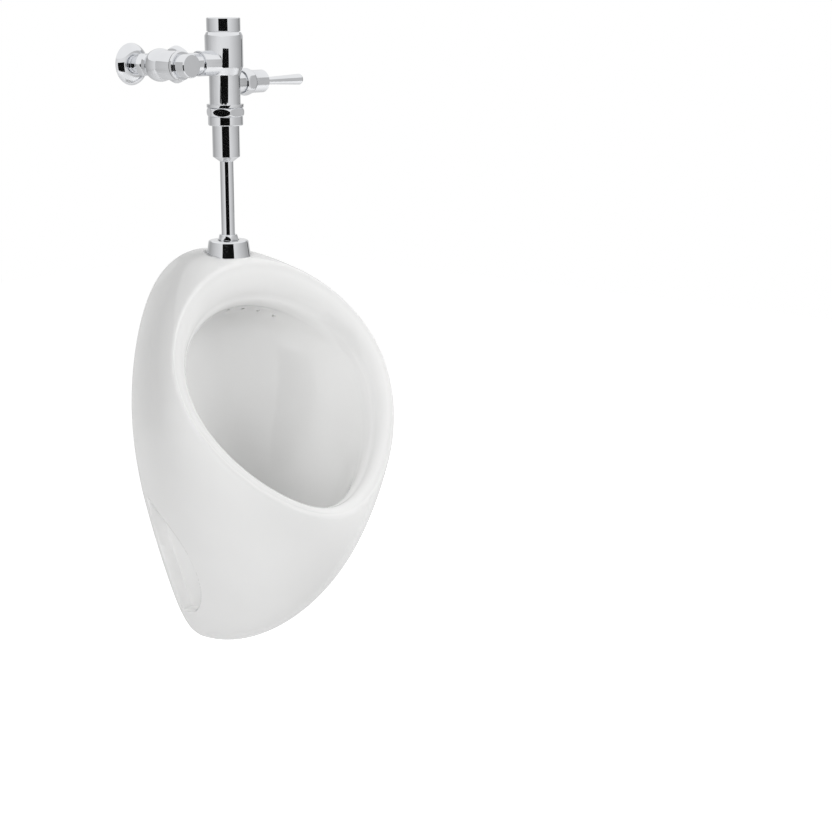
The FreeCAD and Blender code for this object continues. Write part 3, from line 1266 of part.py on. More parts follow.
def stop_disc():
    """The carrier the screw moves, which shuts the stop."""
    return stop_turned([(0, STOP_DISC_F), (STOP_DISC_RADIUS, STOP_DISC_F),
                        (STOP_DISC_RADIUS, STOP_DISC_END_F), (STOP_DISC_BORE, STOP_DISC_END_F),
                        (STOP_DISC_BORE, STOP_DISC_BORE_F), (0, STOP_DISC_BORE_F)])


def stop_disc_seal():
    """The rubber washer on the stop's carrier."""
    return stop_turned([(0, STOP_DISC_F - STOP_DISC_SEAL_THICKNESS),
                        (STOP_DISC_SEAL_RADIUS, STOP_DISC_F - STOP_DISC_SEAL_THICKNESS),
                        (STOP_DISC_SEAL_RADIUS, STOP_DISC_F), (0, STOP_DISC_F)])


def supply_pipe():
    """The supply pipe out of the wall."""
    return ring(at(STOP_X, -SUPPLY_INTO_WALL, INLET_Z + TAIL_H), OUT, SUPPLY_RADIUS,
                SUPPLY_RADIUS - SUPPLY_WALL, SUPPLY_END_F + SUPPLY_INTO_WALL)


def supply_nut():
    """The nut that joins the supply pipe to the stop."""
    return barrel_nut(at(STOP_X, SUPPLY_NUT_F, INLET_Z + TAIL_H), OUT, SUPPLY_NUT_FLATS,
                      SUPPLY_NUT_CORNERS, SUPPLY_RADIUS, SUPPLY_NUT_END_F - SUPPLY_NUT_F)


def escutcheon():
    """The domed disc that covers the hole in the wall round the supply pipe."""
    centre = at(STOP_X, 0, INLET_Z + TAIL_H)

    def dome(radius, height):
        mid_radius = radius - (radius - ESCUTCHEON_HOLE) * DOME_SHOULDER_SHARE
        mid_height = height * DOME_RISE_SHARE
        arc = Part.Arc(V(radius, 0, 0), V(mid_radius, 0, mid_height),
                       V(ESCUTCHEON_HOLE, 0, height)).toShape()
        rest = Part.makePolygon([V(ESCUTCHEON_HOLE, 0, height), V(0, 0, height), V(0, 0, 0),
                                 V(radius, 0, 0)])
        return Part.Face(Part.Wire([arc] + rest.Edges)).revolve(V(0, 0, 0), UP, 360)

    shell = dome(ESCUTCHEON_RADIUS, ESCUTCHEON_HEIGHT).cut(
        dome(ESCUTCHEON_RADIUS - ESCUTCHEON_WALL, ESCUTCHEON_HEIGHT - ESCUTCHEON_WALL))
    shell = shell.cut(rod(V(0, 0, 0), UP, ESCUTCHEON_HOLE, 2 * ESCUTCHEON_HEIGHT))
    shell.Placement = FreeCAD.Placement(centre, FreeCAD.Rotation(UP, OUT))
    return shell


def strainer():
    """The slightly domed strainer in the drain."""
    seat = at(0, WELL_F, WELL_TOP_Z - STRAINER_SEAT_DEPTH)
    middle = V(STRAINER_RADIUS / 2, 0, STRAINER_RISE * DOME_RISE_SHARE)
    arc_low = Part.Arc(V(STRAINER_RADIUS, 0, 0), middle, V(0, 0, STRAINER_RISE)).toShape()
    rise = UP * STRAINER_THICKNESS
    arc_top = arc_low.copy()
    arc_top.translate(rise)
    edge = Part.makeLine(V(STRAINER_RADIUS, 0, 0), V(STRAINER_RADIUS, 0, 0) + rise)
    core = Part.makeLine(V(0, 0, STRAINER_RISE), V(0, 0, STRAINER_RISE) + rise)
    plate = Part.Face(Part.Wire([arc_low, core, arc_top, edge])).revolve(V(0, 0, 0), UP, 360)
    rings = ((STRAINER_HOLES, STRAINER_HOLE_RING), (STRAINER_INNER_HOLES, STRAINER_INNER_RING))
    for count, radius in rings:
        for i in range(count):
            hole = rod(V(radius, 0, -STRAINER_RISE), UP, STRAINER_HOLE_RADIUS, 4 * STRAINER_RISE)
            hole.rotate(V(0, 0, 0), UP, 360.0 * i / count)
            plate = plate.cut(hole)
    plate = plate.cut(rod(V(0, 0, -STRAINER_RISE), UP, STRAINER_SCREW_RADIUS, 4 * STRAINER_RISE))
    plate.translate(seat)
    return plate


def strainer_screw():
    """The screw that holds the strainer down."""
    low = STRAINER_RISE + STRAINER_THICKNESS
    return turned([(0, low - STRAINER_SCREW_LENGTH), (STRAINER_SCREW_RADIUS,
                   low - STRAINER_SCREW_LENGTH), (STRAINER_SCREW_RADIUS, low),
                   (STRAINER_SCREW_HEAD_RADIUS, low),
                   (STRAINER_SCREW_HEAD_RADIUS - STRAINER_SCREW_HEAD / 2,
                    low + STRAINER_SCREW_HEAD), (0, low + STRAINER_SCREW_HEAD)],
                  at(0, WELL_F, WELL_TOP_Z - STRAINER_SEAT_DEPTH), UP)


def strainer_bar():
    """The bar across the well that the strainer's screw goes into."""
    bar = box_between(-WELL_RADIUS, WELL_RADIUS, WELL_F - STRAINER_BAR_HALF_WIDTH,
                      WELL_F + STRAINER_BAR_HALF_WIDTH, STRAINER_BAR_Z,
                      STRAINER_BAR_Z + STRAINER_BAR_THICKNESS)
    inside = rod(at(0, WELL_F, WELL_FLOOR_Z), UP, WELL_RADIUS - SLIDE_GAP / 2,
                 WELL_TOP_Z - WELL_FLOOR_Z)
    hole = rod(at(0, WELL_F, WELL_FLOOR_Z), UP, STRAINER_SCREW_RADIUS, WELL_TOP_Z - WELL_FLOOR_Z)
    return bar.common(inside).cut(hole)


def mirrored_pair(shape):
    """A piece and its twin on the other side of the middle plane."""
    return [shape, shape.mirror(V(0, 0, 0), RIGHT)]


def outlet_connector():
    """The pipe that joins the bowl's outlet to the waste pipe in the wall."""
    centre = at(0, -CONNECTOR_INTO_WALL, OUTLET_Z)
    pipe = ring(centre, OUT, CONNECTOR_RADIUS, CONNECTOR_RADIUS - CONNECTOR_WALL,
                CONNECTOR_END_F + CONNECTOR_INTO_WALL)
    collar = ring(at(0, CONNECTOR_FLANGE_F, OUTLET_Z), OUT, CONNECTOR_FLANGE_RADIUS,
                  CONNECTOR_RADIUS - CONNECTOR_WALL, CONNECTOR_FLANGE_END_F - CONNECTOR_FLANGE_F)
    return pipe.fuse(collar).removeSplitter()


def outlet_seal():
    """The soft ring between the connector's flange and the bowl's outlet."""
    return ring(at(0, CONNECTOR_FLANGE_END_F, OUTLET_Z), OUT, CONNECTOR_SEAL_RADIUS,
                CONNECTOR_RADIUS, OUTLET_FACE_F - CONNECTOR_FLANGE_END_F)


def outlet_ring():
    """The sealing ring round the connector inside the bowl's outlet."""
    return ring(at(0, CONNECTOR_RING_F, OUTLET_Z), OUT, OUTLET_RADIUS - SLIDE_GAP / 3,
                CONNECTOR_RADIUS, CONNECTOR_RING_LENGTH)


def hanger_brackets():
    """The two steel wall brackets with upturned hooks."""
    middle = HANGER_SPACING / 2
    x0 = middle - BRACKET_WIDTH / 2
    x1 = middle + BRACKET_WIDTH / 2
    shelf_low = TAB_SEAT_Z - BRACKET_THICKNESS
    plate = box_between(x0, x1, 0, BRACKET_THICKNESS, BRACKET_LOW_Z, BRACKET_HIGH_Z)
    shelf = box_between(x0, x1, 0, BRACKET_REACH_F, shelf_low, TAB_SEAT_Z)
    hook = box_between(x0, x1, BRACKET_REACH_F - BRACKET_THICKNESS, BRACKET_REACH_F, shelf_low,
                       TAB_SEAT_Z + BRACKET_HOOK_HEIGHT)
    shape = plate.fuse([shelf, hook]).removeSplitter()
    for side in (-1, 1):
        place = V(middle, 0, side * HANGER_HOLE_SPACING / 2)
        shape = shape.cut(rod(place, OUT, BRACKET_HOLE_RADIUS, BRACKET_THICKNESS))
    return Part.makeCompound(mirrored_pair(shape))


def hanger_screws():
    """The four screws that hold the brackets to the wall."""
    screws = []
    for side in (-1, 1):
        screw = turned([(0, -HANGER_SCREW_LENGTH), (HANGER_SCREW_RADIUS, -HANGER_SCREW_LENGTH),
                        (HANGER_SCREW_RADIUS, 0), (HANGER_NECK_RADIUS, 0),
                        (HANGER_NECK_RADIUS, BRACKET_THICKNESS),
                        (HANGER_SCREW_HEAD_RADIUS, BRACKET_THICKNESS),
                        (HANGER_SCREW_HEAD_RADIUS - HANGER_SCREW_HEAD / 2,
                         BRACKET_THICKNESS + HANGER_SCREW_HEAD),
                        (0, BRACKET_THICKNESS + HANGER_SCREW_HEAD)],
                       V(HANGER_SPACING / 2, 0, side * HANGER_HOLE_SPACING / 2), OUT)
        screws = screws + mirrored_pair(screw)
    return Part.makeCompound(screws)


def inlet_seal():
    """The rubber sleeve that seals the spud in the bowl's inlet."""
    return upright([(SPUD_SLEEVE_RADIUS, SPUD_LOW_H), (INLET_HOLE_RADIUS - SLIDE_GAP / 3,
                    SPUD_LOW_H), (INLET_HOLE_RADIUS - SLIDE_GAP / 3, -SLIDE_GAP),
                    (SPUD_SLEEVE_RADIUS, -SLIDE_GAP)])


def spud_washer():
    """The soft washer between the spud's flange and the bowl."""
    return ring(valve(0), UP, SPUD_FLANGE_RADIUS, SPUD_SLEEVE_RADIUS, SPUD_WASHER_THICKNESS)


def slip_seal():
    """The rubber ring the small nut presses round the flush tube."""
    return ring(valve(SPUD_TOP_H), UP, SPUD_THREAD_RADIUS, TUBE_RADIUS, SLIP_SEAL_HEIGHT)


def slip_ring():
    """The smooth ring between the small nut and its rubber ring."""
    return ring(valve(SPUD_TOP_H + SLIP_SEAL_HEIGHT), UP, SPUD_THREAD_RADIUS,
                TUBE_RADIUS + SLIDE_GAP, SLIP_RING_HEIGHT)


def body_seal():
    """The ring between the vacuum breaker and the valve body."""
    low = BREAKER_TUBE_FLANGE_H + BREAKER_TUBE_FLANGE_THICKNESS + BREAKER_FLANGE_THICKNESS
    return ring(valve(low), UP, BREAKER_FLANGE_RADIUS, BODY_LOWER_BORE, BODY_LOW_H - low)


PIECES = (
    (bowl, "bowl"),
    (strainer, "strainer"),
    (strainer_screw, "strainer_screw"),
    (strainer_bar, "strainer_bar"),
    (outlet_connector, "outlet_connector"),
    (outlet_seal, "outlet_seal"),
    (outlet_ring, "outlet_ring"),
    (hanger_brackets, "hanger_brackets"),
    (hanger_screws, "hanger_screws"),
    (inlet_seal, "inlet_seal"),
    (spud, "spud"),
    (spud_washer, "spud_washer"),
    (slip_seal, "slip_seal"),
    (slip_ring, "slip_ring"),
    (spud_nut, "spud_nut"),
    (spud_cover, "spud_cover"),
    (flush_tube, "flush_tube"),
    (breaker, "breaker"),
    (flap, "breaker_flap"),
    (body_seal, "body_seal"),
    (coupling_nut, "coupling_nut"),
    (valve_body, "valve_body"),
    (main_seat, "main_seat"),
    (top_cap, "top_cap"),
    (inner_cover, "inner_cover"),
    (piston, "piston"),
    (piston_ring, "piston_ring"),
    (piston_seal, "piston_seal"),
    (relief_valve, "relief_valve"),
    (handle_seal, "handle_seal"),
    (bushing, "bushing"),
    (plunger, "plunger"),
    (plunger_spring, "plunger_spring"),
    (handle_socket, "handle_socket"),
    (handle_nut, "handle_nut"),
    (handle_collar, "handle_collar"),
    (handle_cup, "handle_cup"),
    (lever, "lever"),
    (tail_pipe, "tail_pipe"),
    (tail_seal, "tail_seal"),
    (tail_gasket, "tail_gasket"),
    (tail_nut, "tail_nut"),
    (stop_body, "stop_body"),
    (bonnet_seal, "bonnet_seal"),
    (stop_bonnet, "stop_bonnet"),
    (stop_cap, "stop_cap"),
    (cap_ring, "cap_ring"),
    (stop_spindle, "stop_spindle"),
    (stop_disc, "stop_disc"),
    (stop_disc_seal, "stop_disc_seal"),
    (supply_pipe, "supply_pipe"),
    (supply_nut, "supply_nut"),
    (escutcheon, "escutcheon"),
)

for make, name in PIECES:
    save(make(), name)
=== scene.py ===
# %% [markdown]
# A ceramic urinal hangs on a wall and a chromed flush valve stands on top of it. The solids of
# every piece were made in a CAD program, so this file only has to dress them: a smooth glazed
# skin for the bowl, rounded edges for the metal, and a finish for each material.
# Everything is in metres. The wall's face is Y = 0, the object stands on the -Y side of it and
# the origin is the middle of the screws that carry the bowl.

import json
import math

import bmesh
import bpy
import numpy as np
from mathutils import Matrix, Vector
from mathutils.bvhtree import BVHTree


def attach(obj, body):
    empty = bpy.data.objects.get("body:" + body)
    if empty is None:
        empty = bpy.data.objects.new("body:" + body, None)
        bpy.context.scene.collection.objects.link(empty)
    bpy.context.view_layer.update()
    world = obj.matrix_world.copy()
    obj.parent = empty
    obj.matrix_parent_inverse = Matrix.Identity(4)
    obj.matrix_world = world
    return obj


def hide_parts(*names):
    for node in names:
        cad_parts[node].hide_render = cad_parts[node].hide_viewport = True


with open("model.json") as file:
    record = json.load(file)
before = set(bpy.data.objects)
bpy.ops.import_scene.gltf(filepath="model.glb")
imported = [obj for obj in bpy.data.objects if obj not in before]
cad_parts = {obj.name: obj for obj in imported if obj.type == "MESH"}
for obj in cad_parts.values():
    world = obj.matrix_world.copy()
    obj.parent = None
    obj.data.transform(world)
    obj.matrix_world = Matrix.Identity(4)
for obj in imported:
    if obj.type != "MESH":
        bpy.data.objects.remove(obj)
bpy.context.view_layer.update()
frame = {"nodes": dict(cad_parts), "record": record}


def placed(name, data):
    """A new object with the data, put into the scene."""
    obj = bpy.data.objects.new(name, data)
    bpy.context.scene.collection.objects.link(obj)
    return obj


print("nodes in the frame:", len(frame["nodes"]))

# %% [markdown]
# The bowl is a shape without a single flat face, so it is the one piece that is built again
# here from its own curves. A mesh out of loops suits it: each loop runs once round the bowl, and
# all loops have the same number of points, so neighbours can be joined into four-sided faces.
# The sizes below are in millimetres, as a potter's drawing would give them, with f for the
# distance out of the wall and z for the height above the bowl's lowest point.

# %% Sizes of the bowl's curves
MM = 0.001
HANGER_HEIGHT = 430.0
BOWL_HEIGHT = 600.0
OUTLINE = dict(half=141.3, shares=(1.0, 0.223, 0.038, -0.002, 0.036), rise=(0.047, 0.004))
CREST = dict(top=(95.6, 588.6), lip=(287.5, 250.2), half=193.0, bow=-5.15,
             shares=(1.0, 0.128, -0.063))
INNER = dict(top=(82.1, 526.5), lip=(252.1, 254.9), half=155.9, bow=5.6,
             shares=(1.0, 0.185, -0.05))
print("bowl:", BOWL_HEIGHT, "mm high,", CREST["lip"][0], "mm from the wall to the lip")

# %% [markdown]
# Every loop uses the same turns round the bowl. They lie closer together beside the two hollows
# low on the flank, because those have the tightest edges, and wider apart elsewhere. Spacing
# points where the detail is keeps a mesh light.

# %% Turns round the bowl
CLOSE_FROM, CLOSE_TO = 1.74, 2.72
CLOSE_COUNT, LOW_COUNT, TOP_COUNT = 140, 40, 160
close = np.linspace(CLOSE_FROM, CLOSE_TO, CLOSE_COUNT, endpoint=False)
far = np.linspace(CLOSE_TO, 2 * math.pi - CLOSE_TO, LOW_COUNT, endpoint=False)
top = np.linspace(-CLOSE_FROM, CLOSE_FROM, TOP_COUNT, endpoint=False)
T = np.concatenate([top, close, far, 2 * math.pi - CLOSE_TO + (close - CLOSE_FROM)])
S = (1 - np.cos(T)) / 2
print("points in a loop:", len(T))

# %% [markdown]
# Three curves carry the bowl: its outline on the wall, the crest of its rim and the inner edge
# of the ring. Traced points could draw them, but a few cosines do it with less, and every
# number then has a meaning: a width, a height, or how full the curve is.

# %% The three main curves


def at(x, f, z):
    """Points in millimetres from their place across, out of the wall and up."""
    return np.stack(np.broadcast_arrays(x, -np.asarray(f), np.asarray(z) - HANGER_HEIGHT), -1)


def cosines(shares):
    """How a width varies round a loop."""
    return sum(share * np.cos(n * T) for n, share in enumerate(shares))


def tilted_loop(back, front, half, bow=0.0, shares=(1.0,)):
    """A loop between two points of the middle plane."""
    chord = np.subtract(front, back)
    lift = bow * 4 * S * (1 - S) / np.hypot(*chord)
    return at(half * np.sin(T) * cosines(shares), back[0] + chord[0] * S - chord[1] * lift,
              back[1] + chord[1] * S + chord[0] * lift)


def through(a, b, c):
    """A value that is a at the top, b half way and c at the bottom of the loops."""
    return a * (1 - S) * (1 - 2 * S) + 4 * b * S * (1 - S) + c * S * (2 * S - 1)


outline_half = OUTLINE["half"] * np.sin(T) * cosines(OUTLINE["shares"])
outline_z = BOWL_HEIGHT * (0.5 + 0.5 * np.cos(T)
                           + (OUTLINE["rise"][0] + OUTLINE["rise"][1] * np.cos(T)) * np.sin(T) ** 2)
outline = at(outline_half, 0.0, outline_z)
crest = tilted_loop(CREST["top"], CREST["lip"], CREST["half"], CREST["bow"], CREST["shares"])
inner = tilted_loop(INNER["top"], INNER["lip"], INNER["half"], INNER["bow"], INNER["shares"])
print("width of the crest in millimetres:", round(np.ptp(crest[:, 0]), 1))

# %% [markdown]
# The flank swings from the wall out to the rim. On the real bowl it leaves the wall almost
# square and meets the rim at an angle that changes from top to bottom. A cubic curve with two
# handles says just that, once for every turn, and all the loops come out of it together.

# %% The flank
LEAVE, RISE = (39.8, 69.8, 111.2), (2.3, 0.6, -3.6)
MEET, SLOPE = (48.4, 62.3, 131.5), (-26.9, 41.6, 86.6)
LEAVE_SIDEWAYS, MEET_SIDEWAYS = 8.1, -2.4
CREST_ROUND = 8.0
FLANK_START, FLANK_DENSE_TO = 0.012, 0.34
DENSE_LOOPS, WIDE_LOOPS = 50, 28

side = 4 * S * (1 - S) * np.sin(T)
meet, slope = through(*MEET), np.radians(through(*SLOPE))
handle_a = outline + np.stack([LEAVE_SIDEWAYS * side, -through(*LEAVE), through(*RISE)], -1)
handle_b = crest + np.stack([MEET_SIDEWAYS * side, meet * np.cos(slope),
                             -meet * np.sin(slope)], -1)
reach = (1 - CREST_ROUND / (3 * meet))[:, None]


def flank_loop(v):
    """The loop a share v of the way from the wall to the crest's rounding."""
    v = v * reach
    w = 1 - v
    return outline * w ** 3 + handle_a * 3 * v * w * w + handle_b * 3 * v * v * w + crest * v ** 3


near_wall = np.linspace(FLANK_START, FLANK_DENSE_TO, DENSE_LOOPS)
to_crest = np.linspace(FLANK_DENSE_TO, 1.0, WIDE_LOOPS)[1:]
flank = [flank_loop(v) for v in np.concatenate([near_wall, to_crest])]
print("loops in the flank:", len(flank))

# %% [markdown]
# Two hollows are pressed into the flank beside the wall, where fingers can hold the bowl. Their
# floor stands straight out from the wall, and seen from the side they have a rounded outline.
# Pushing the flank's own points inwards gives them soft glazed edges, which a cut would not.

# %% The outline of a side hollow
HOLLOW_F = (12.0, 24.0, 40.0, 62.0, 73.0, 73.5, 66.0, 52.0, 34.0, 12.0)
HOLLOW_Z = (246.0, 232.0, 216.0, 190.0, 160.0, 130.0, 103.0, 80.0, 65.0, 62.0)
BORDER_POINTS = 120


def spline(rows, count):
    """Rows of points made denser along a natural cubic curve through them."""
    n = len(rows)
    rows = np.asarray(rows, float)
    bend = np.eye(n) * 4 + np.eye(n, k=1) + np.eye(n, k=-1)
    bend[0], bend[-1] = np.eye(n)[0], np.eye(n)[-1]
    second = np.zeros((n,) + rows[0].shape)
    second[1:-1] = 6 * (rows[2:] - 2 * rows[1:-1] + rows[:-2])
    second = np.tensordot(np.linalg.inv(bend), second, 1)
    made = []
    for u in np.linspace(0, n - 1, count):
        i = min(int(u), n - 2)
        a, b = i + 1 - u, u - i
        made.append(a * rows[i] + b * rows[i + 1]
                    + ((a ** 3 - a) * second[i] + (b ** 3 - b) * second[i + 1]) / 6)
    return made


border = np.array(spline(list(zip(HOLLOW_F, HOLLOW_Z)), BORDER_POINTS))
border = np.vstack([border, border[0]])
print("a hollow is", round(np.ptp(border[:, 1])), "mm high and reaches",
      round(border[:, 0].max()), "mm out of the wall")

# %% [markdown]
# A point of the flank is pushed in when it lies inside the hollow's outline, seen from the side.
# The push grows from nothing to its full depth across that line, and so the edge comes out
# rounded. The floor lies a fixed depth inside the bowl's outline on the wall.

# %% Pressing the hollows in
HOLLOW_DEPTH = 16.8
HOLLOW_EDGE = 2.6


def smooth(x):
    """From 0 to 1 without a corner."""
    x = np.clip(x, 0, 1)
    return x * x * (3 - 2 * x)


def half_at(z):
    """Half the outline's width at a height."""
    upwards = np.argsort(outline_z)
    return np.interp(z, outline_z[upwards], np.abs(outline_half[upwards]))


def inside_by(f, z):
    """How far points of the side view lie inside the hollow's outline, negative outside."""
    p = np.stack([f, z], -1)[:, None]
    a, b = border[:-1][None], border[1:][None]
    along = np.clip(((p - a) * (b - a)).sum(-1) / ((b - a) ** 2).sum(-1), 0, 1)
    away = np.hypot(*np.moveaxis(p - a - along[..., None] * (b - a), -1, 0)).min(1)
    crosses = ((a[..., 1] > p[..., 1]) != (b[..., 1] > p[..., 1])) & (
        p[..., 0] < (b[..., 0] - a[..., 0]) * (p[..., 1] - a[..., 1])
        / (b[..., 1] - a[..., 1] + 1e-12) + a[..., 0])
    return np.where(crosses.sum(1) % 2 == 1, away, -away)


def pressed(loop, under=0.0):
    """A loop with its points inside the hollows pushed in to their floor, or to under it."""
    f, z = -loop[:, 1], loop[:, 2] + HANGER_HEIGHT
    share = smooth(0.5 + (inside_by(f, z) + under) / (2 * HOLLOW_EDGE))
    floor_x = np.minimum(half_at(z) - HOLLOW_DEPTH - under, np.abs(loop[:, 0]))
    out = loop.copy()
    out[:, 0] = np.sign(loop[:, 0]) * (np.abs(loop[:, 0]) * (1 - share) + floor_x * share)
    return out


plain_flank = flank
flank = [pressed(loop) for loop in plain_flank]
print("deepest push in millimetres:",
      round(max(np.abs(a - b).max() for a, b in zip(flank, plain_flank)), 1))

# %% [markdown]
# The rim has a rounded crest, a ring that swells a little, and a rounded inner edge. The two
# roundings are curves pulled towards the sharp corner between two surfaces, which is how a wet
# sponge rounds the edge of clay before it is fired.

# %% The rim
INNER_ROUND = 9.0
RING_SWELL = 4.0
RING_LOOPS = 9


def between(first, second, share, lift=0.0):
    """A loop part of the way from one loop to another, lifted off the strip between them."""
    along = np.roll(first, -1, 0) - np.roll(first, 1, 0)
    normal = np.cross(along, second - first)
    normal /= np.linalg.norm(normal, axis=1, keepdims=True)
    return first + (second - first) * share - normal * lift


def turned_corner(before, corner, after, count):
    """Loops that turn from one strip into the next."""
    steps = np.linspace(0, 1, count)[1:-1]
    return [before * (1 - s) ** 2 + corner * 2 * s * (1 - s) + after * s * s for s in steps]


width = np.linalg.norm(inner - crest, axis=1, keepdims=True)
ring_from, ring_to = CREST_ROUND / width, 1 - INNER_ROUND / width
ring = [between(crest, inner, ring_from + (ring_to - ring_from) * s, RING_SWELL * 4 * s * (1 - s))
        for s in np.linspace(0, 1, RING_LOOPS)]
print("width of the ring in millimetres:", round(width.min(), 1), "to", round(width.max(), 1))

# %% [markdown]
# The basin is a stack of tilted loops that get smaller and rounder on their way down, and it
# ends in the level circles of the drain. Only nine of its loops are given. A smooth curve
# through them gives all the others, which makes a hollow without dents.

# %% The basin and the drain
BASIN_BACK = ((74.0, 521.5), (60.0, 517.0), (39.0, 498.0), (30.0, 455.0), (28.5, 385.0),
              (29.0, 305.0), (32.0, 225.0), (41.0, 152.0), (57.0, 100.0))
BASIN_FRONT = ((248.0, 247.0), (243.0, 238.0), (234.0, 214.0), (222.0, 184.0), (206.0, 152.0),
               (189.0, 125.0), (172.0, 105.0), (155.0, 92.0), (140.0, 86.0))
BASIN_HALF = (153.5, 150.5, 145.0, 138.0, 127.0, 112.0, 92.0, 68.0, 44.0)
BASIN_ROUND = (0.17, 0.15, 0.12, 0.09, 0.06, 0.03, 0.0, 0.0, 0.0)
BASIN_SQUARE = (-0.05, -0.05, -0.05, -0.05, -0.04, -0.03, -0.02, 0.0, 0.0)
BASIN_LOOPS = 46
DRAIN_F = 99.0
DRAIN_RIM = (31.8, 84.3)
DRAIN = ((31.2, 83.9), (31.0, 83.3), (31.0, 81.2), (30.8, 81.0), (24.6, 81.0), (24.0, 80.4),
         (24.0, 66.0), (24.0, 51.0), (23.0, 50.0), (8.0, 50.0))

key_loops = [tilted_loop(b, a, h, 0.0, (1.0, r, q)) for b, a, h, r, q in
             zip(BASIN_BACK, BASIN_FRONT, BASIN_HALF, BASIN_ROUND, BASIN_SQUARE)]


def drain_loop(radius, z):
    """A level circle round the drain."""
    return at(radius * np.sin(T), DRAIN_F - radius * np.cos(T), z)


basin = spline(key_loops + [drain_loop(*DRAIN_RIM)], BASIN_LOOPS)
drain = [drain_loop(radius, z) for radius, z in DRAIN]
print("loops in the basin:", len(basin) + len(drain))

# %% [markdown]
# Round the inlet the ledge is pressed flat, so that the cover of the flush tube has a level
# seat. Only points of the ledge near the inlet's axis are moved, and the step fades out over a
# few millimetres. The ring in front of the ledge keeps its own curve.

# %% The edge at the wall and a level seat for the tube's cover
INLET_F, SEAT_Z, SEAT_RADIUS, SEAT_FADE = 59.7, 594.0, 32.4, 3.0
LEDGE_FROM_Z = 560.0
EDGE = ((2.0, 0.0), (0.6, 0.5))
CORNER_LOOPS = 8


def drawn_in(inset, f):
    """The outline's loop drawn in by a distance, at a depth out of the wall."""
    along = np.roll(outline, -1, 0) - np.roll(outline, 1, 0)
    inwards = np.cross(along, np.array([0.0, -1.0, 0.0]))
    inwards /= np.linalg.norm(inwards, axis=1, keepdims=True)
    return outline + inwards * inset + np.array([0.0, -f, 0.0])


def levelled(loop):
    """A loop with its points near the inlet set to the seat's height."""
    away = np.hypot(loop[:, 0], -loop[:, 1] - INLET_F)
    share = 1 - smooth((away - SEAT_RADIUS) / SEAT_FADE)
    share = share * (loop[:, 2] + HANGER_HEIGHT > LEDGE_FROM_Z)
    out = loop.copy()
    out[:, 2] += (SEAT_Z - HANGER_HEIGHT - loop[:, 2]) * share
    return out


wall_edge = [drawn_in(*row) for row in EDGE]
to_ring = turned_corner(flank[-1], crest, ring[0], CORNER_LOOPS)
to_basin = turned_corner(ring[-1], inner, basin[0], CORNER_LOOPS)
front = [levelled(loop) for loop in wall_edge + flank + to_ring]
front += ring + to_basin + basin + drain
print("loops on the glazed side:", len(front))

# %% [markdown]
# The back of the bowl is open towards the wall and shows a flat glazed band, the inside of the
# flank and the outside of the basin. These are the same loops again, moved a wall's thickness
# into the clay, so the skin has an even thickness everywhere. Low down the flank and the basin
# come close to each other, and there every hidden point is kept a little way under the glaze.

# %% The hidden side
SKIN, LEAST_SKIN = 11.0, 4.0
BAND_WIDTH, BAND_DEPTH = 30.0, 12.0
BACK_START, BACK_DENSE_TO = 0.06, 0.36
BACK_DENSE_LOOPS, BACK_WIDE_LOOPS = 9, 8


def strips(rows, n):
    """Four-sided faces between neighbouring loops of n points."""
    return [(j * n + i, j * n + (i + 1) % n, (j + 1) * n + (i + 1) % n, (j + 1) * n + i)
            for j in range(rows - 1) for i in range(n)]


def moved(loops, distance):
    """Loops moved square to the surface that they lie on."""
    grid = np.array(loops)
    along = np.roll(grid, -1, 1) - np.roll(grid, 1, 1)
    across = np.gradient(grid, axis=0)
    normal = np.cross(along, across)
    normal /= np.linalg.norm(normal, axis=2, keepdims=True) + 1e-9
    return list(grid + normal * distance)


def buried(loop):
    """A loop whose points lie at least the least skin under the glazed side."""
    out = loop.copy()
    for i, point in enumerate(loop):
        place, normal = glaze_side.find_nearest(point)[:2]
        if (Vector(point) - place).dot(normal) < LEAST_SKIN:
            out[i] = place + normal * LEAST_SKIN
    return out


glaze_side = BVHTree.FromPolygons(np.concatenate(front).tolist(), strips(len(front), len(T)))
steps = np.concatenate([np.linspace(BACK_START, BACK_DENSE_TO, BACK_DENSE_LOOPS),
                        np.linspace(BACK_DENSE_TO, 1.0, BACK_WIDE_LOOPS)[1:]])
flank_back = [pressed(loop, SKIN) for loop in moved([flank_loop(v) for v in steps], SKIN)[:-1]]
ring_back = moved(ring[::4], SKIN)[1:2]
basin_back = moved(key_loops, SKIN)
back = [drawn_in(BAND_WIDTH, 0.0), drawn_in(BAND_WIDTH, BAND_DEPTH)]
back += [buried(loop) for loop in flank_back + ring_back + basin_back]
print("loops in all:", len(front) + len(back))

# %% [markdown]
# All loops are now joined into one closed skin, from the band at the wall over the hidden side,
# back to the wall and over the glaze down into the drain. Blender could skin loops with its own
# bridge tool, but writing the faces out keeps their order known. The volume is a good test: it
# only makes sense when every face looks outwards.

# %% The bowl's mesh


def loft(name, loops, closed_ends=True):
    """A mesh through loops in millimetres that have the same number of points."""
    points = np.concatenate(loops) * MM
    n = len(loops[0])
    faces = strips(len(loops), n)
    if closed_ends:
        faces.append(tuple(range(n))[::-1])
        faces.append(tuple((len(loops) - 1) * n + i for i in range(n)))
    mesh = bpy.data.meshes.new(name)
    mesh.from_pydata(points.tolist(), [], faces)
    return placed(name, mesh)


bowl = loft("glazed_bowl", back[::-1] + front)
bm = bmesh.new()
bm.from_mesh(bowl.data)
bmesh.ops.recalc_face_normals(bm, faces=bm.faces)
print("bowl faces:", len(bm.faces), "volume in litres:", round(bm.calc_volume() * 1000, 2))
bm.to_mesh(bowl.data)
bm.free()

# %% [markdown]
# Water reaches the basin through small holes under the ring and through the big hole in the
# ledge. To place a small hole, only the middle of it is needed. The middles follow the same
# tilted curve as the water channel inside the ring, some way below it, so each of them has the
# same distance from the channel.

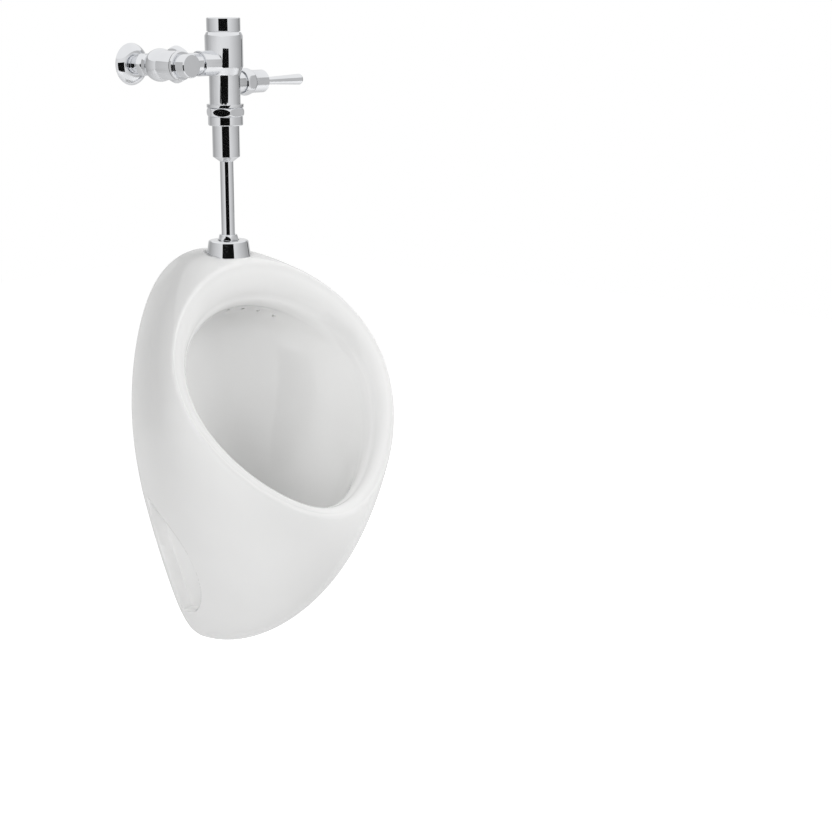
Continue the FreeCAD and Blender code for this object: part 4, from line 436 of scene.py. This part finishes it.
# %% Where the small holes are
CHANNEL_TOP, CHANNEL_LIP, CHANNEL_HALF = (56.0, 549.0), (246.0, 245.0), 170.0
HOLE_TURN, HOLES_EACH_SIDE = 9.6, 3
HOLE_FORWARD, HOLE_DROP = 0.5, 34.7


def hole_point(turn):
    """The middle of a small hole, so many degrees round from the top."""
    t = math.radians(turn)
    s = (1 - math.cos(t)) / 2
    f = CHANNEL_TOP[0] + (CHANNEL_LIP[0] - CHANNEL_TOP[0]) * s + HOLE_FORWARD
    z = CHANNEL_TOP[1] + (CHANNEL_LIP[1] - CHANNEL_TOP[1]) * s - HOLE_DROP
    return Vector((CHANNEL_HALF * math.sin(t), -f, z - HANGER_HEIGHT)) * MM


starts = bpy.data.meshes.new("hole_starts")
starts.from_pydata([hole_point(HOLE_TURN * n)
                    for n in range(-HOLES_EACH_SIDE, HOLES_EACH_SIDE + 1)], [], [])
starts_object = placed("hole_starts", starts)
print("small holes:", len(starts.vertices))

# %% [markdown]
# The small holes are the same short rod many times over, so a Geometry Nodes modifier stands one
# rod on each point, adds the thick rod for the hole in the ledge, and takes them all out of the
# bowl in one go. Such a group is a list of steps with named inputs, and they stay open to
# change until the result is made into a plain mesh.

# %% The steps that cut the holes
HOLE_LENGTH, HOLE_RADIUS, HOLE_LEAN = 17.0, 2.7, math.radians(38.0)
INLET_RADIUS, INLET_ROD, INLET_DROP = 20.5, 60.0, 18.0
HOLE_SIDES, INLET_SIDES = 24, 96


def node_group(name, inputs):
    """An empty group that takes and gives geometry, with other inputs by their names."""
    group = bpy.data.node_groups.new(name, "GeometryNodeTree")
    group.interface.new_socket("Geometry", in_out="INPUT", socket_type="NodeSocketGeometry")
    for label, kind, value in inputs:
        socket = group.interface.new_socket(label, in_out="INPUT", socket_type=kind)
        if value is not None:
            socket.default_value = value
    group.interface.new_socket("Geometry", in_out="OUTPUT", socket_type="NodeSocketGeometry")
    return group, group.nodes.new("NodeGroupInput"), group.nodes.new("NodeGroupOutput")


def apply_group(obj, group, values):
    """Run a geometry group on an object, then keep what it made as a plain mesh."""
    modifier = obj.modifiers.new(group.name, "NODES")
    modifier.node_group = group
    for item in group.interface.items_tree:
        if item.item_type == "SOCKET" and item.in_out == "INPUT" and item.name in values:
            modifier[item.identifier] = values[item.name]
    view = bpy.context.evaluated_depsgraph_get()
    mesh = bpy.data.meshes.new_from_object(obj.evaluated_get(view))
    obj.modifiers.remove(modifier)
    obj.data = mesh


group, entry, leave = node_group("Spray holes", (
    ("Points", "NodeSocketObject", None), ("Radius", "NodeSocketFloat", HOLE_RADIUS * MM),
    ("Length", "NodeSocketFloat", HOLE_LENGTH * MM),
    ("Inlet radius", "NodeSocketFloat", INLET_RADIUS * MM),
    ("Inlet place", "NodeSocketVector", None), ("Material", "NodeSocketMaterial", None)))
make = group.nodes.new
info, to_points = make("GeometryNodeObjectInfo"), make("GeometryNodeMeshToPoints")
rod, inlet_rod = make("GeometryNodeMeshCylinder"), make("GeometryNodeMeshCylinder")
rod.inputs["Vertices"].default_value = HOLE_SIDES
inlet_rod.inputs["Vertices"].default_value = INLET_SIDES
inlet_rod.inputs["Depth"].default_value = INLET_ROD * MM
stand = make("GeometryNodeInstanceOnPoints")
stand.inputs["Rotation"].default_value = (-HOLE_LEAN, 0, 0)
place, both = make("GeometryNodeTransform"), make("GeometryNodeJoinGeometry")
real, finish = make("GeometryNodeRealizeInstances"), make("GeometryNodeSetMaterial")
cut = make("GeometryNodeMeshBoolean")
cut.operation = "DIFFERENCE"
cut.solver = "EXACT"
for source, output, target, into in (
        (entry, "Points", info, "Object"), (info, "Geometry", to_points, "Mesh"),
        (entry, "Radius", rod, "Radius"), (entry, "Length", rod, "Depth"),
        (to_points, "Points", stand, "Points"), (rod, "Mesh", stand, "Instance"),
        (entry, "Inlet radius", inlet_rod, "Radius"), (inlet_rod, "Mesh", place, "Geometry"),
        (entry, "Inlet place", place, "Translation"), (stand, "Instances", both, "Geometry"),
        (place, "Geometry", both, "Geometry"), (both, "Geometry", real, "Geometry"),
        (entry, "Geometry", cut, "Mesh 1"), (real, "Geometry", cut, "Mesh 2"),
        (cut, "Mesh", finish, "Geometry"), (entry, "Material", finish, "Material"),
        (finish, "Geometry", leave, "Geometry")):
    group.links.new(source.outputs[output], target.inputs[into])
print("nodes in the group:", len(group.nodes), "links:", len(group.links))

# %% [markdown]
# Glazed ceramic is white clay under a layer of clear glass. The white is slightly uneven, and
# the glass flows before it hardens, so its reflections wander a little. A smooth wide noise
# drives the tone and a fine one a very weak bump.

# %% The glaze
NOISE_LOW, NOISE_HIGH = 0.3, 0.7


def tree_of(owner):
    """The nodes and the links of a material or a world."""
    return owner.node_tree.nodes, owner.node_tree.links


def new_material(name, roughness, metallic=0.0, specular=0.5):
    """A material with the plain values of its main shader set."""
    material = bpy.data.materials.new(name)
    material.use_nodes = True
    inputs = material.node_tree.nodes["Principled BSDF"].inputs
    inputs["Roughness"].default_value = roughness
    inputs["Metallic"].default_value = metallic
    inputs["Specular IOR Level"].default_value = specular
    return material


def feed(material, value, label):
    """Let a node's output drive an input of the material's main shader."""
    nodes, links = tree_of(material)
    links.new(value, nodes["Principled BSDF"].inputs[label])


def noise_of(material, scale, detail=2.0, stretch=(1, 1, 1)):
    """Noise on the object's own coordinates, in repeats per metre."""
    nodes, links = tree_of(material)
    place = nodes.new("ShaderNodeTexCoord")
    stretcher = nodes.new("ShaderNodeMapping")
    stretcher.inputs["Scale"].default_value = stretch
    noise = nodes.new("ShaderNodeTexNoise")
    noise.inputs["Scale"].default_value = scale
    noise.inputs["Detail"].default_value = detail
    links.new(place.outputs["Object"], stretcher.inputs["Vector"])
    links.new(stretcher.outputs["Vector"], noise.inputs["Vector"])
    return noise.outputs["Fac"]


def tint(material, value, low, high):
    """Let a noise choose a colour between two."""
    nodes, links = tree_of(material)
    ramp = nodes.new("ShaderNodeValToRGB")
    spots = (NOISE_LOW, low), (NOISE_HIGH, high)
    for element, (spot, colour) in zip(ramp.color_ramp.elements, spots):
        element.position = spot
        element.color = (*colour, 1)
    links.new(value, ramp.inputs["Fac"])
    feed(material, ramp.outputs["Color"], "Base Color")


def ripple(material, height, strength, distance=0.001):
    """Let a noise raise and lower the surface a little."""
    nodes, links = tree_of(material)
    bump = nodes.new("ShaderNodeBump")
    bump.inputs["Strength"].default_value = strength
    bump.inputs["Distance"].default_value = distance
    links.new(height, bump.inputs["Height"])
    feed(material, bump.outputs["Normal"], "Normal")


glaze = new_material("glazed_ceramic", 0.07)
tint(glaze, noise_of(glaze, 6.0), (0.80, 0.80, 0.795), (0.83, 0.83, 0.825))
ripple(glaze, noise_of(glaze, 90.0, 1.0), 0.02)
print("nodes in the glaze:", len(glaze.node_tree.nodes))

# %% [markdown]
# The rods are now taken out of the bowl, and the walls of the holes get the glaze too. The cut
# leaves a few doubled points along its edges, which are joined. A hole meets the glaze round it
# at a clear edge, so shading runs on smoothly everywhere but over such edges.

# %% The bowl with its holes
SAME_PLACE = 1e-6
SHARP_RIM = 50.0

inlet_place = (0, -INLET_F * MM, (SEAT_Z - INLET_DROP - HANGER_HEIGHT) * MM)
apply_group(bowl, group, {"Points": starts_object, "Material": glaze, "Inlet place": inlet_place})
bpy.data.objects.remove(starts_object)
bm = bmesh.new()
bm.from_mesh(bowl.data)
bmesh.ops.remove_doubles(bm, verts=bm.verts, dist=SAME_PLACE)
print("bowl with its holes:", len(bm.faces), "faces, volume in litres:",
      round(bm.calc_volume() * 1000, 2), "open edges:", sum(e.is_boundary for e in bm.edges))
bm.to_mesh(bowl.data)
bm.free()
bowl.data.shade_smooth()
bowl.data.set_sharp_from_angle(angle=math.radians(SHARP_RIM))
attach(bowl, "fixed")
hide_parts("bowl")

# %% [markdown]
# The metal pieces come from the solids, and a solid's edges are sharper than any real edge.
# Polish and plating round them, and that thin rounding is what catches the light. A bevel that
# only acts on edges with a real corner does it for all of them at once. The copy is welded
# first, because the solids arrive as loose triangles.

# %% Rounded edges for the two castings
CASTINGS = {"valve_body": 0.0006, "stop_body": 0.0006}
CORNER_ANGLE, CORNER_STEPS = 28.0, 3
WELD = 2e-6
FLAT_WITHIN = 0.2


def body_with(node):
    """The body that a node moves with."""
    for body, names in frame["record"]["behaviour"]["bodies"].items():
        if node in names:
            return body


def stands_for(obj, node):
    """Let a finished piece move with its node and stand in its place."""
    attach(obj, body_with(node))
    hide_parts(node)
    return obj


def welded(node):
    """The node's solid as a mesh in which neighbouring triangles share their corners."""
    bm = bmesh.new()
    bm.from_mesh(frame["nodes"][node].data)
    bmesh.ops.remove_doubles(bm, verts=bm.verts, dist=WELD)
    return bm


def rounded_copy(node, width):
    """A welded copy of a node with its corners rounded, which stands in its place."""
    bm = welded(node)
    bmesh.ops.dissolve_limit(bm, angle_limit=math.radians(FLAT_WITHIN), verts=bm.verts,
                             edges=bm.edges)
    bmesh.ops.recalc_face_normals(bm, faces=bm.faces)
    mesh = bpy.data.meshes.new(node + "_finished")
    bm.to_mesh(mesh)
    bm.free()
    obj = placed(node + "_finished", mesh)
    mesh.shade_smooth()
    bevel = obj.modifiers.new("Rounding", "BEVEL")
    bevel.width = width
    bevel.segments = CORNER_STEPS
    bevel.limit_method = "ANGLE"
    bevel.angle_limit = math.radians(CORNER_ANGLE)
    bevel.harden_normals = True
    bevel.use_clamp_overlap = True
    return stands_for(obj, node)


chromed = {node: rounded_copy(node, width) for node, width in CASTINGS.items()}
print("castings:", ", ".join(chromed))

# %% [markdown]
# Nearly all other metal pieces were turned on a lathe. A solid that comes as triangles has
# only a few flat sides round such a piece, and a mirror shows every one of them. So each piece
# is turned again: its solid is cut through the axis, the cut's outline is read off and spun
# with many steps, which gives a true round.

# %% Reading the outline of a turned piece
ON_PLANE, ON_AXIS, JOIN = 1e-6, 1e-5, 2e-5


def half_section(node, start, along, side):
    """The node's outline on one side of an axis, as pairs of (radius, height) points."""
    bm = welded(node)
    cut = bmesh.ops.bisect_plane(bm, geom=bm.verts[:] + bm.edges[:] + bm.faces[:],
                                 dist=ON_PLANE, plane_co=start,
                                 plane_no=along.cross(side))["geom_cut"]
    pairs = []
    for edge in cut:
        if isinstance(edge, bmesh.types.BMEdge):
            ends = [v.co - start for v in edge.verts]
            pair = [(max(end.dot(side), 0.0), end.dot(along)) for end in ends]
            if max(end.dot(side) for end in ends) > ON_AXIS:
                pairs.append(pair)
    bm.free()
    return pairs


def end_to_end(pairs):
    """The pairs put one after another as a single line of points."""
    left = sorted((np.array(sorted(pair)) for pair in pairs), key=lambda pair: pair[0, 0])
    line = list(left.pop(0))
    while left:
        gaps = [np.hypot(*(pair - line[-1]).T) for pair in left]
        best = min(range(len(left)), key=lambda i: gaps[i].min())
        if gaps[best].min() > JOIN:
            break
        line.append(left[best][1 - gaps[best].argmin()])
        left.pop(best)
    closed = np.hypot(*(line[-1] - line[0])) < JOIN
    return (line[:-1] if closed else line), closed


VALVE = Vector((0.0, -INLET_F, SEAT_Z - HANGER_HEIGHT)) * MM
UP, RIGHT, OUT = Vector((0, 0, 1)), Vector((1, 0, 0)), Vector((0, -1, 0))
line, closed = end_to_end(half_section("top_cap", VALVE, UP, RIGHT))
print("points read off the top cap:", len(line))

# %% [markdown]
# An outline that is read off a solid has spare points on its straights, and its corners are
# perfectly sharp. The spare points go, and each sharp corner becomes a short curve. A point
# close beside each bend keeps the shading flat next to it, so that only the roundings catch the
# light.

# %% Rounding the outline's corners
SHARP, STRAIGHT = 26.0, 0.4
CURVE_POINTS = 5
CURVE_SHARE, BESIDE_SHARE = 0.4, 0.48


def turns_of(line, closed):
    """How far the line turns at each of its points, in degrees, with 0 at open ends."""
    points = np.array(line)
    before, after = points - np.roll(points, 1, 0), np.roll(points, -1, 0) - points
    turn = np.arctan2(before[:, 0] * after[:, 1] - before[:, 1] * after[:, 0],
                      (before * after).sum(1))
    if not closed:
        turn[0] = turn[-1] = 0
    return np.abs(np.degrees(turn))


def without_spare(line, closed):
    """The line without the points that lie on a straight between their neighbours."""
    tidy = [point for i, point in enumerate(line)
            if np.hypot(*(point - line[i - 1])) > SAME_PLACE]
    turn = turns_of(tidy, closed)
    ends = () if closed else (0, len(tidy) - 1)
    return [point for i, point in enumerate(tidy) if turn[i] > STRAIGHT or i in ends]


def rounded_line(line, closed, width):
    """The line with its sharp corners rounded and a point close beside each bend."""
    turn = turns_of(line, closed)
    out = []
    for i, point in enumerate(line):
        if turn[i] == 0:
            out.append(point)
            continue
        sides = line[i - 1] - point, line[(i + 1) % len(line)] - point
        lengths = [np.hypot(*side) for side in sides]
        units = [side / length for side, length in zip(sides, lengths)]
        sharp = turn[i] > SHARP
        bend = width * math.tan(math.radians(turn[i] / 2)) if sharp else min(lengths) / 3
        reach = [min(bend, CURVE_SHARE * length) for length in lengths]
        beside = [point + unit * min(r + width / 2, BESIDE_SHARE * length)
                  for unit, r, length in zip(units, reach, lengths)]
        if lengths[0] > 3 * (reach[0] + width / 2):
            out.append(beside[0])
        if sharp:
            start, end = [point + unit * r for unit, r in zip(units, reach)]
            out += [start * (1 - s) ** 2 + point * 2 * s * (1 - s) + end * s * s
                    for s in np.linspace(0, 1, CURVE_POINTS)]
        else:
            out.append(point)
        if lengths[1] > 3 * (reach[1] + width / 2):
            out.append(beside[1])
    return out


line = without_spare(line, closed)
print("outline of the top cap in millimetres:", [tuple(np.round(p * 1000, 1)) for p in line])

# %% [markdown]
# The nuts are turned as well, and then six flats are ground on them. So each of their points is
# held back to the nearest flat. Where a flat meets the turned surface the two are blended over
# about a millimetre, as the polishing wheel leaves them.

# %% Flats on the nuts
NUT_BLEND = 0.0011


def blended_min(a, b, width):
    """The smaller of two values, blended where they are close to each other."""
    near = np.maximum(width - np.abs(a - b), 0) / width
    return np.minimum(a, b) - near * near * width / 4


def flat_limit(degrees, across):
    """How far a hexagon reaches in a direction, with a corner at 0 degrees."""
    off = np.radians(np.abs(degrees % 60 - 30))
    return blended_min(across / 2 / np.cos(off), across / 2 / np.cos(math.radians(60) - off),
                       NUT_BLEND)


print("from flat to corner on a 30 mm nut, in millimetres:",
      round((flat_limit(0.0, 0.03) - flat_limit(30.0, 0.03)) * 1000, 1))

# %% [markdown]
# The outlines are now spun round their axes. Blender has a spin tool for this, but it only knows
# circles. Here every ring is worked out from its angles, so the nuts can have their flats, with
# more points where a flat ends. The rings are then joined in the same way as the bowl's loops.

# %% Spinning the outlines
ROUND_STEPS = 144
NUT_STEPS = (0, 1, 2, 3.2, 5, 8, 13, 20, 30, 40, 47, 52, 55, 56.8, 58, 59)
AXIS_WELD = 1e-7
HANDLE_RISE, TAIL_RISE, STOP_ASIDE = 246.6, 274.5, 120.0


def spun(node, start, along, side, width, across=None):
    """A node's outline spun round its axis with rounded corners, which stands in its place."""
    line, closed = end_to_end(half_section(node, start, along, side))
    line = rounded_line(without_spare(line, closed), closed, width)
    if across:
        steps = np.concatenate([np.array(NUT_STEPS) + 60 * n for n in range(6)])
    else:
        steps = np.arange(ROUND_STEPS) * 360 / ROUND_STEPS
    third = along.cross(side)
    rings = []
    for radius, height in line:
        radii = np.full(len(steps), radius)
        if across:
            radii = blended_min(radii, flat_limit(steps, across), NUT_BLEND)
        radii = radii[:, None]
        angle = np.radians(steps)[:, None]
        rings.append(np.array(start) + np.array(along) * height
                     + radii * (np.cos(angle) * np.array(side) + np.sin(angle) * np.array(third)))
    if closed:
        rings.append(rings[0])
    obj = loft(node + "_finished", [ring / MM for ring in rings], False)
    bm = bmesh.new()
    bm.from_mesh(obj.data)
    bmesh.ops.remove_doubles(bm, verts=bm.verts, dist=AXIS_WELD)
    bmesh.ops.recalc_face_normals(bm, faces=bm.faces)
    open_edges = sum(edge.is_boundary for edge in bm.edges)
    print(node, "faces:", len(bm.faces), "open edges:", open_edges,
          "cubic millimetres:", round(bm.calc_volume() * 1e9))
    bm.to_mesh(obj.data)
    bm.free()
    obj.data.shade_smooth()
    return stands_for(obj, node)


HANDLE = VALVE + Vector((0, 0, HANDLE_RISE)) * MM
STOP = VALVE + Vector((-STOP_ASIDE, INLET_F, TAIL_RISE)) * MM
TAIL = VALVE + Vector((0, 0, TAIL_RISE)) * MM
SPUN = {
    "spud_cover": (VALVE, UP, RIGHT, 0.0004), "flush_tube": (VALVE, UP, RIGHT, 0.0003),
    "top_cap": (VALVE, UP, RIGHT, 0.0005), "handle_collar": (HANDLE, RIGHT, -UP, 0.0003),
    "handle_cup": (HANDLE, RIGHT, -UP, 0.0004), "lever": (HANDLE, RIGHT, -UP, 0.0005),
    "tail_pipe": (TAIL, RIGHT, -UP, 0.0003), "stop_bonnet": (STOP, OUT, RIGHT, 0.0004),
    "stop_cap": (STOP, OUT, RIGHT, 0.0004), "supply_pipe": (STOP, OUT, RIGHT, 0.0003),
    "escutcheon": (STOP, OUT, RIGHT, 0.0003),
    "spud_nut": (VALVE, UP, RIGHT, 0.0004, 0.026),
    "coupling_nut": (VALVE, UP, RIGHT, 0.0005, 0.0485),
    "handle_nut": (HANDLE, RIGHT, -UP, 0.0005, 0.0346),
    "tail_nut": (TAIL, RIGHT, -UP, 0.0005, 0.045),
    "supply_nut": (STOP, OUT, RIGHT, 0.0005, 0.03)}
chromed.update({node: spun(node, *how) for node, how in SPUN.items()})
print("chromed pieces:", len(chromed))

# %% [markdown]
# Chrome plate is a mirror with a faint cold tint. It is almost free of scratches, so only its
# sharpness changes a little from place to place. What makes it look like chrome is what it
# reflects, and that comes later with the lamps.

# %% Chrome


def roughen(material, value, low, high):
    """Let a noise move the roughness between two limits."""
    nodes, links = tree_of(material)
    spread = nodes.new("ShaderNodeMapRange")
    for label, number in (("From Min", NOISE_LOW), ("From Max", NOISE_HIGH),
                          ("To Min", low), ("To Max", high)):
        spread.inputs[label].default_value = number
    links.new(value, spread.inputs["Value"])
    feed(material, spread.outputs["Result"], "Roughness")


chrome = new_material("chrome", 0.05, metallic=1.0)
tint(chrome, noise_of(chrome, 30.0), (0.74, 0.75, 0.77), (0.79, 0.80, 0.82))
roughen(chrome, noise_of(chrome, 45.0), 0.03, 0.07)
for obj in chromed.values():
    obj.data.materials.append(chrome)
print("pieces with chrome:", len(chromed))

# %% [markdown]
# Steel, brass, rubber and moulded plastic are hidden inside or behind the object, but each
# still gets its own surface: drawn steel has fine lines, turned brass has rings of tone, rubber
# is dull and slightly rough, and moulded plastic has a soft grain.

# %% The hidden materials
steel = new_material("steel", 0.3, metallic=1.0)
lines = noise_of(steel, 120.0, 3.0, (1, 1, 14))
tint(steel, lines, (0.48, 0.48, 0.49), (0.62, 0.62, 0.63))
roughen(steel, lines, 0.22, 0.38)

brass = new_material("brass", 0.25, metallic=1.0)
rings = noise_of(brass, 160.0, 2.0, (1, 1, 6))
tint(brass, rings, (0.60, 0.42, 0.17), (0.74, 0.55, 0.26))
roughen(brass, rings, 0.18, 0.32)

rubber = new_material("black_rubber", 0.62)
grain = noise_of(rubber, 900.0)
tint(rubber, grain, (0.018, 0.018, 0.019), (0.035, 0.035, 0.036))
ripple(rubber, grain, 0.15, 0.0002)

plastic = new_material("moulded_plastic", 0.42)
grain = noise_of(plastic, 700.0)
tint(plastic, grain, (0.70, 0.71, 0.70), (0.77, 0.78, 0.77))
ripple(plastic, grain, 0.1, 0.0002)

by_slot = {"glazed_ceramic": glaze, "chrome": chrome, "steel": steel, "brass": brass,
           "black_rubber": rubber, "moulded_plastic": plastic}
for part in frame["record"]["subparts"]:
    node = frame["nodes"][part["node"]]
    node.data.materials.clear()
    node.data.materials.append(by_slot[part["material_slot"]])
print("materials:", ", ".join(by_slot))

# %% [markdown]
# The picture of a product has a plain pale floor and a plain white background. The floor lies
# well below the bowl, as it would in a washroom. It gives off a little white where the camera
# or a mirror looks at it, so that it runs into the background and still keeps a faint shadow.
# Mirrors get less of that white, because they look at the part that the lamps already light.
# It lights nothing, and the light on the object stays at its own plain level.

# %% Floor
FLOOR_Z, FLOOR_HALF, FLOOR_GLOW, FLOOR_MIRRORED = -0.98, 6.0, 0.66, 0.12


def math_of(nodes, links, operation, *values):
    """The result of a Math node on numbers and other nodes' outputs."""
    node = nodes.new("ShaderNodeMath")
    node.operation = operation
    for value, socket in zip(values, node.inputs):
        if isinstance(value, float):
            socket.default_value = value
        else:
            links.new(value, socket)
    return node.outputs["Value"]


def looked_at(nodes, links):
    """1 for rays from the camera, from a mirror or through glass, and 0 for all others."""
    path = nodes.new("ShaderNodeLightPath").outputs
    mirrors = math_of(nodes, links, "MAXIMUM", path["Is Camera Ray"], path["Is Glossy Ray"])
    return math_of(nodes, links, "MAXIMUM", mirrors, path["Is Transmission Ray"])


floor_mesh = bpy.data.meshes.new("floor")
floor_mesh.from_pydata([(x * FLOOR_HALF, y * FLOOR_HALF, FLOOR_Z)
                        for x, y in ((-1, -1), (1, -1), (1, 1), (-1, 1))], [], [(0, 1, 2, 3)])
floor = placed("floor", floor_mesh)
floor_look = new_material("pale_floor", 0.9, specular=0.0)
tint(floor_look, noise_of(floor_look, 1.5), (0.88,) * 3, (0.91,) * 3)
nodes, links = tree_of(floor_look)
camera_ray = nodes.new("ShaderNodeLightPath").outputs["Is Camera Ray"]
mirrored = math_of(nodes, links, "MULTIPLY", looked_at(nodes, links), FLOOR_MIRRORED)
glow = math_of(nodes, links, "MULTIPLY_ADD", camera_ray, FLOOR_GLOW - FLOOR_MIRRORED, mirrored)
feed(floor_look, glow, "Emission Strength")
nodes["Principled BSDF"].inputs["Emission Color"].default_value = (1, 1, 1, 1)
floor.data.materials.append(floor_look)
print("floor at the height", FLOOR_Z, "m")

# %% [markdown]
# The background is full white where the camera or a mirror looks at it, and dimmer where it
# lights things, because a full white room would wash out the bowl's shading. Two backgrounds
# are mixed for this, and the kind of ray decides which of them answers.

# %% White background
WORLD_LIGHT = 0.38

world = bpy.data.worlds.new("white_studio")
bpy.context.scene.world = world
world.use_nodes = True
nodes, links = tree_of(world)
nodes.clear()
seen, lights = nodes.new("ShaderNodeBackground"), nodes.new("ShaderNodeBackground")
for background, strength in ((seen, 1.0), (lights, WORLD_LIGHT)):
    background.inputs["Color"].default_value = (1, 1, 1, 1)
    background.inputs["Strength"].default_value = strength
mix, result = nodes.new("ShaderNodeMixShader"), nodes.new("ShaderNodeOutputWorld")
links.new(looked_at(nodes, links), mix.inputs["Fac"])
links.new(lights.outputs["Background"], mix.inputs[1])
links.new(seen.outputs["Background"], mix.inputs[2])
links.new(mix.outputs["Shader"], result.inputs["Surface"])
print("light from all round:", WORLD_LIGHT)

# %% [markdown]
# The lamps are large and stand to the left and to the right. Light from the sides reaches the
# flank and the rim more than the inside of the bowl, so the basin looks deeper than the rest. A
# small one in the middle of the left lamp is all that mirrors see, like a window in a room.

# %% Lamps


def lamp(name, place, target, size, power):
    """A soft lamp with four corners that looks at a point."""
    light = bpy.data.lights.new(name, "AREA")
    light.shape = "RECTANGLE"
    light.size, light.size_y = size
    light.energy = power
    obj = placed(name, light)
    aim = (Vector(target) - Vector(place)).to_track_quat("-Z", "Y").to_matrix().to_4x4()
    obj.matrix_world = Matrix.Translation(place) @ aim
    return obj


AIM = (0, -0.1, 0)
LEFT_PLACE, RIGHT_PLACE = (-2.5, -1.35, 1.0), (2.1, -1.5, 1.3)
lamps = [lamp("left", LEFT_PLACE, AIM, (2.0, 2.2), 44),
         lamp("right", RIGHT_PLACE, AIM, (2.0, 2.0), 56)]
for obj in lamps:
    obj.visible_glossy = False
lamp("window", LEFT_PLACE, AIM, (0.5, 0.9), 4)
print("watts from the large lamps:", [obj.data.energy for obj in lamps])

# %% [markdown]
# Chrome shows what stands round it, and in an all-white room it would look like white paint. A
# studio hangs up grey paper just outside the picture for this reason. Here the paper is a sheet
# that glows with a painted grey, darker towards the sides, and this paints shade into each tube's
# reflection towards its edges. Only mirrors see it here, so it takes no light away from the bowl.

# %% Glowing grey paper for the chrome
CARD_FRONT = 223.1
PAPER_AWAY, PAPER_TOP, PAPER_STEP = 3.2, 1.9, 5
PAPER_GLOW_TONES = ((0, 0.92), (34, 0.88), (80, 0.64), (120, 0.42), (150, 0.6), (180, 0.85))


def mirrored_only(name, points, faces, look):
    """A sheet with a material, which only mirrors can see."""
    mesh = bpy.data.meshes.new(name)
    mesh.from_pydata(points, [], faces)
    mesh.materials.append(look)
    obj = placed(name, mesh)
    obj.visible_camera = obj.visible_diffuse = obj.visible_shadow = False
    obj.visible_transmission = obj.visible_volume_scatter = False
    return obj


def glowing_paper_look():
    """A painted grey glow that changes with the direction, seen from the middle of the paper's
    circle.
    """
    look = new_material("grey_paper", 1.0, specular=0.0)
    nodes, links = tree_of(look)
    place = nodes.new("ShaderNodeTexCoord")
    turn = nodes.new("ShaderNodeMapping")
    turn.inputs["Rotation"].default_value = (0, 0, -math.radians(CARD_FRONT))
    sweep = nodes.new("ShaderNodeTexGradient")
    sweep.gradient_type = "RADIAL"
    ramp = nodes.new("ShaderNodeValToRGB")
    elements = ramp.color_ramp.elements
    spots = sorted({(0.5 + sign * degrees / 360, tone) for degrees, tone in PAPER_GLOW_TONES
                    for sign in (-1, 1)})
    while len(elements) < len(spots):
        elements.new(0.5)
    for element, (spot, tone) in zip(elements, spots):
        element.position = spot
        element.color = (tone, tone, tone, 1)
    links.new(place.outputs["Object"], turn.inputs["Vector"])
    links.new(turn.outputs["Vector"], sweep.inputs["Vector"])
    links.new(sweep.outputs["Color"], ramp.inputs["Fac"])
    # The grey is a glow painted by direction, not paper lit by the lamps: painted light for
    # mirrors.
    feed(look, ramp.outputs["Color"], "Emission Color")
    inputs = nodes["Principled BSDF"].inputs
    inputs["Emission Strength"].default_value = 1.0
    inputs["Base Color"].default_value = (0, 0, 0, 1)
    return look


paper_points = [(PAPER_AWAY * math.cos(math.radians(a)), PAPER_AWAY * math.sin(math.radians(a)), z)
                for a in range(0, 360, PAPER_STEP) for z in (FLOOR_Z, PAPER_TOP)]
paper_count = len(paper_points)
mirrored_only("grey_paper", paper_points,
              [(i, (i + 2) % paper_count, (i + 3) % paper_count, i + 1)
               for i in range(0, paper_count, 2)], glowing_paper_look())
print("flat strips in the paper's circle:", paper_count // 2)

# %% [markdown]
# A round tube mirrors nearly the whole room, squeezed into a few dark and pale stripes. The black
# card in front makes the dark band down the middle of every tube, and a narrow one draws its
# right edge. Their places are given as angles from the valve, because only those count here.

# %% Black cards for the chrome
CARD_AWAY = 2.2
CARDS = (("front", 0, 62, -40, 7), ("far_right", 136, 8, -12, 8))

black = new_material("black_card", 1.0, specular=0.0)
tint(black, noise_of(black, 3.0), (0.006,) * 3, (0.01,) * 3)


def card(name, turn, wide, bottom, top):
    """A black card that stands round the valve, with its place and size given as angles."""
    middle = math.radians(CARD_FRONT + turn)
    out = Vector((math.cos(middle), math.sin(middle), 0))
    half = math.tan(math.radians(wide / 2))
    corners = [(side, math.tan(math.radians(height)))
               for side, height in ((-half, bottom), (half, bottom), (half, top), (-half, top))]
    points = [TAIL + (out + UP.cross(out) * side + UP * height) * CARD_AWAY
              for side, height in corners]
    return mirrored_only("card_" + name, points, [(0, 1, 2, 3)], black)


print("cards:", ", ".join(card(*row).name for row in CARDS))

# %% [markdown]
# The camera stands where the photograph's own camera stood. Its place and its lens were worked
# out from the curves of the bowl in the picture, so the bowl lands on the same pixels.

# %% Camera
CAMERA_PLACE = Vector((-1.79819, -1.92301, 0.52724))
CAMERA_LOOK = Vector((0.74583, 0.62615, -0.22732))
CAMERA_LENS, CAMERA_SENSOR = 77.447, 36.0
camera_data = bpy.data.cameras.new("camera")
camera_data.sensor_width = CAMERA_SENSOR
camera_data.lens = CAMERA_LENS
camera = placed("camera", camera_data)
camera.matrix_world = Matrix.Translation(CAMERA_PLACE) \
    @ CAMERA_LOOK.to_track_quat("-Z", "Y").to_matrix().to_4x4()
bpy.context.scene.camera = camera
bpy.context.scene.view_settings.view_transform = "Standard"
print("camera's distance from the origin in metres:", round(CAMERA_PLACE.length, 3))
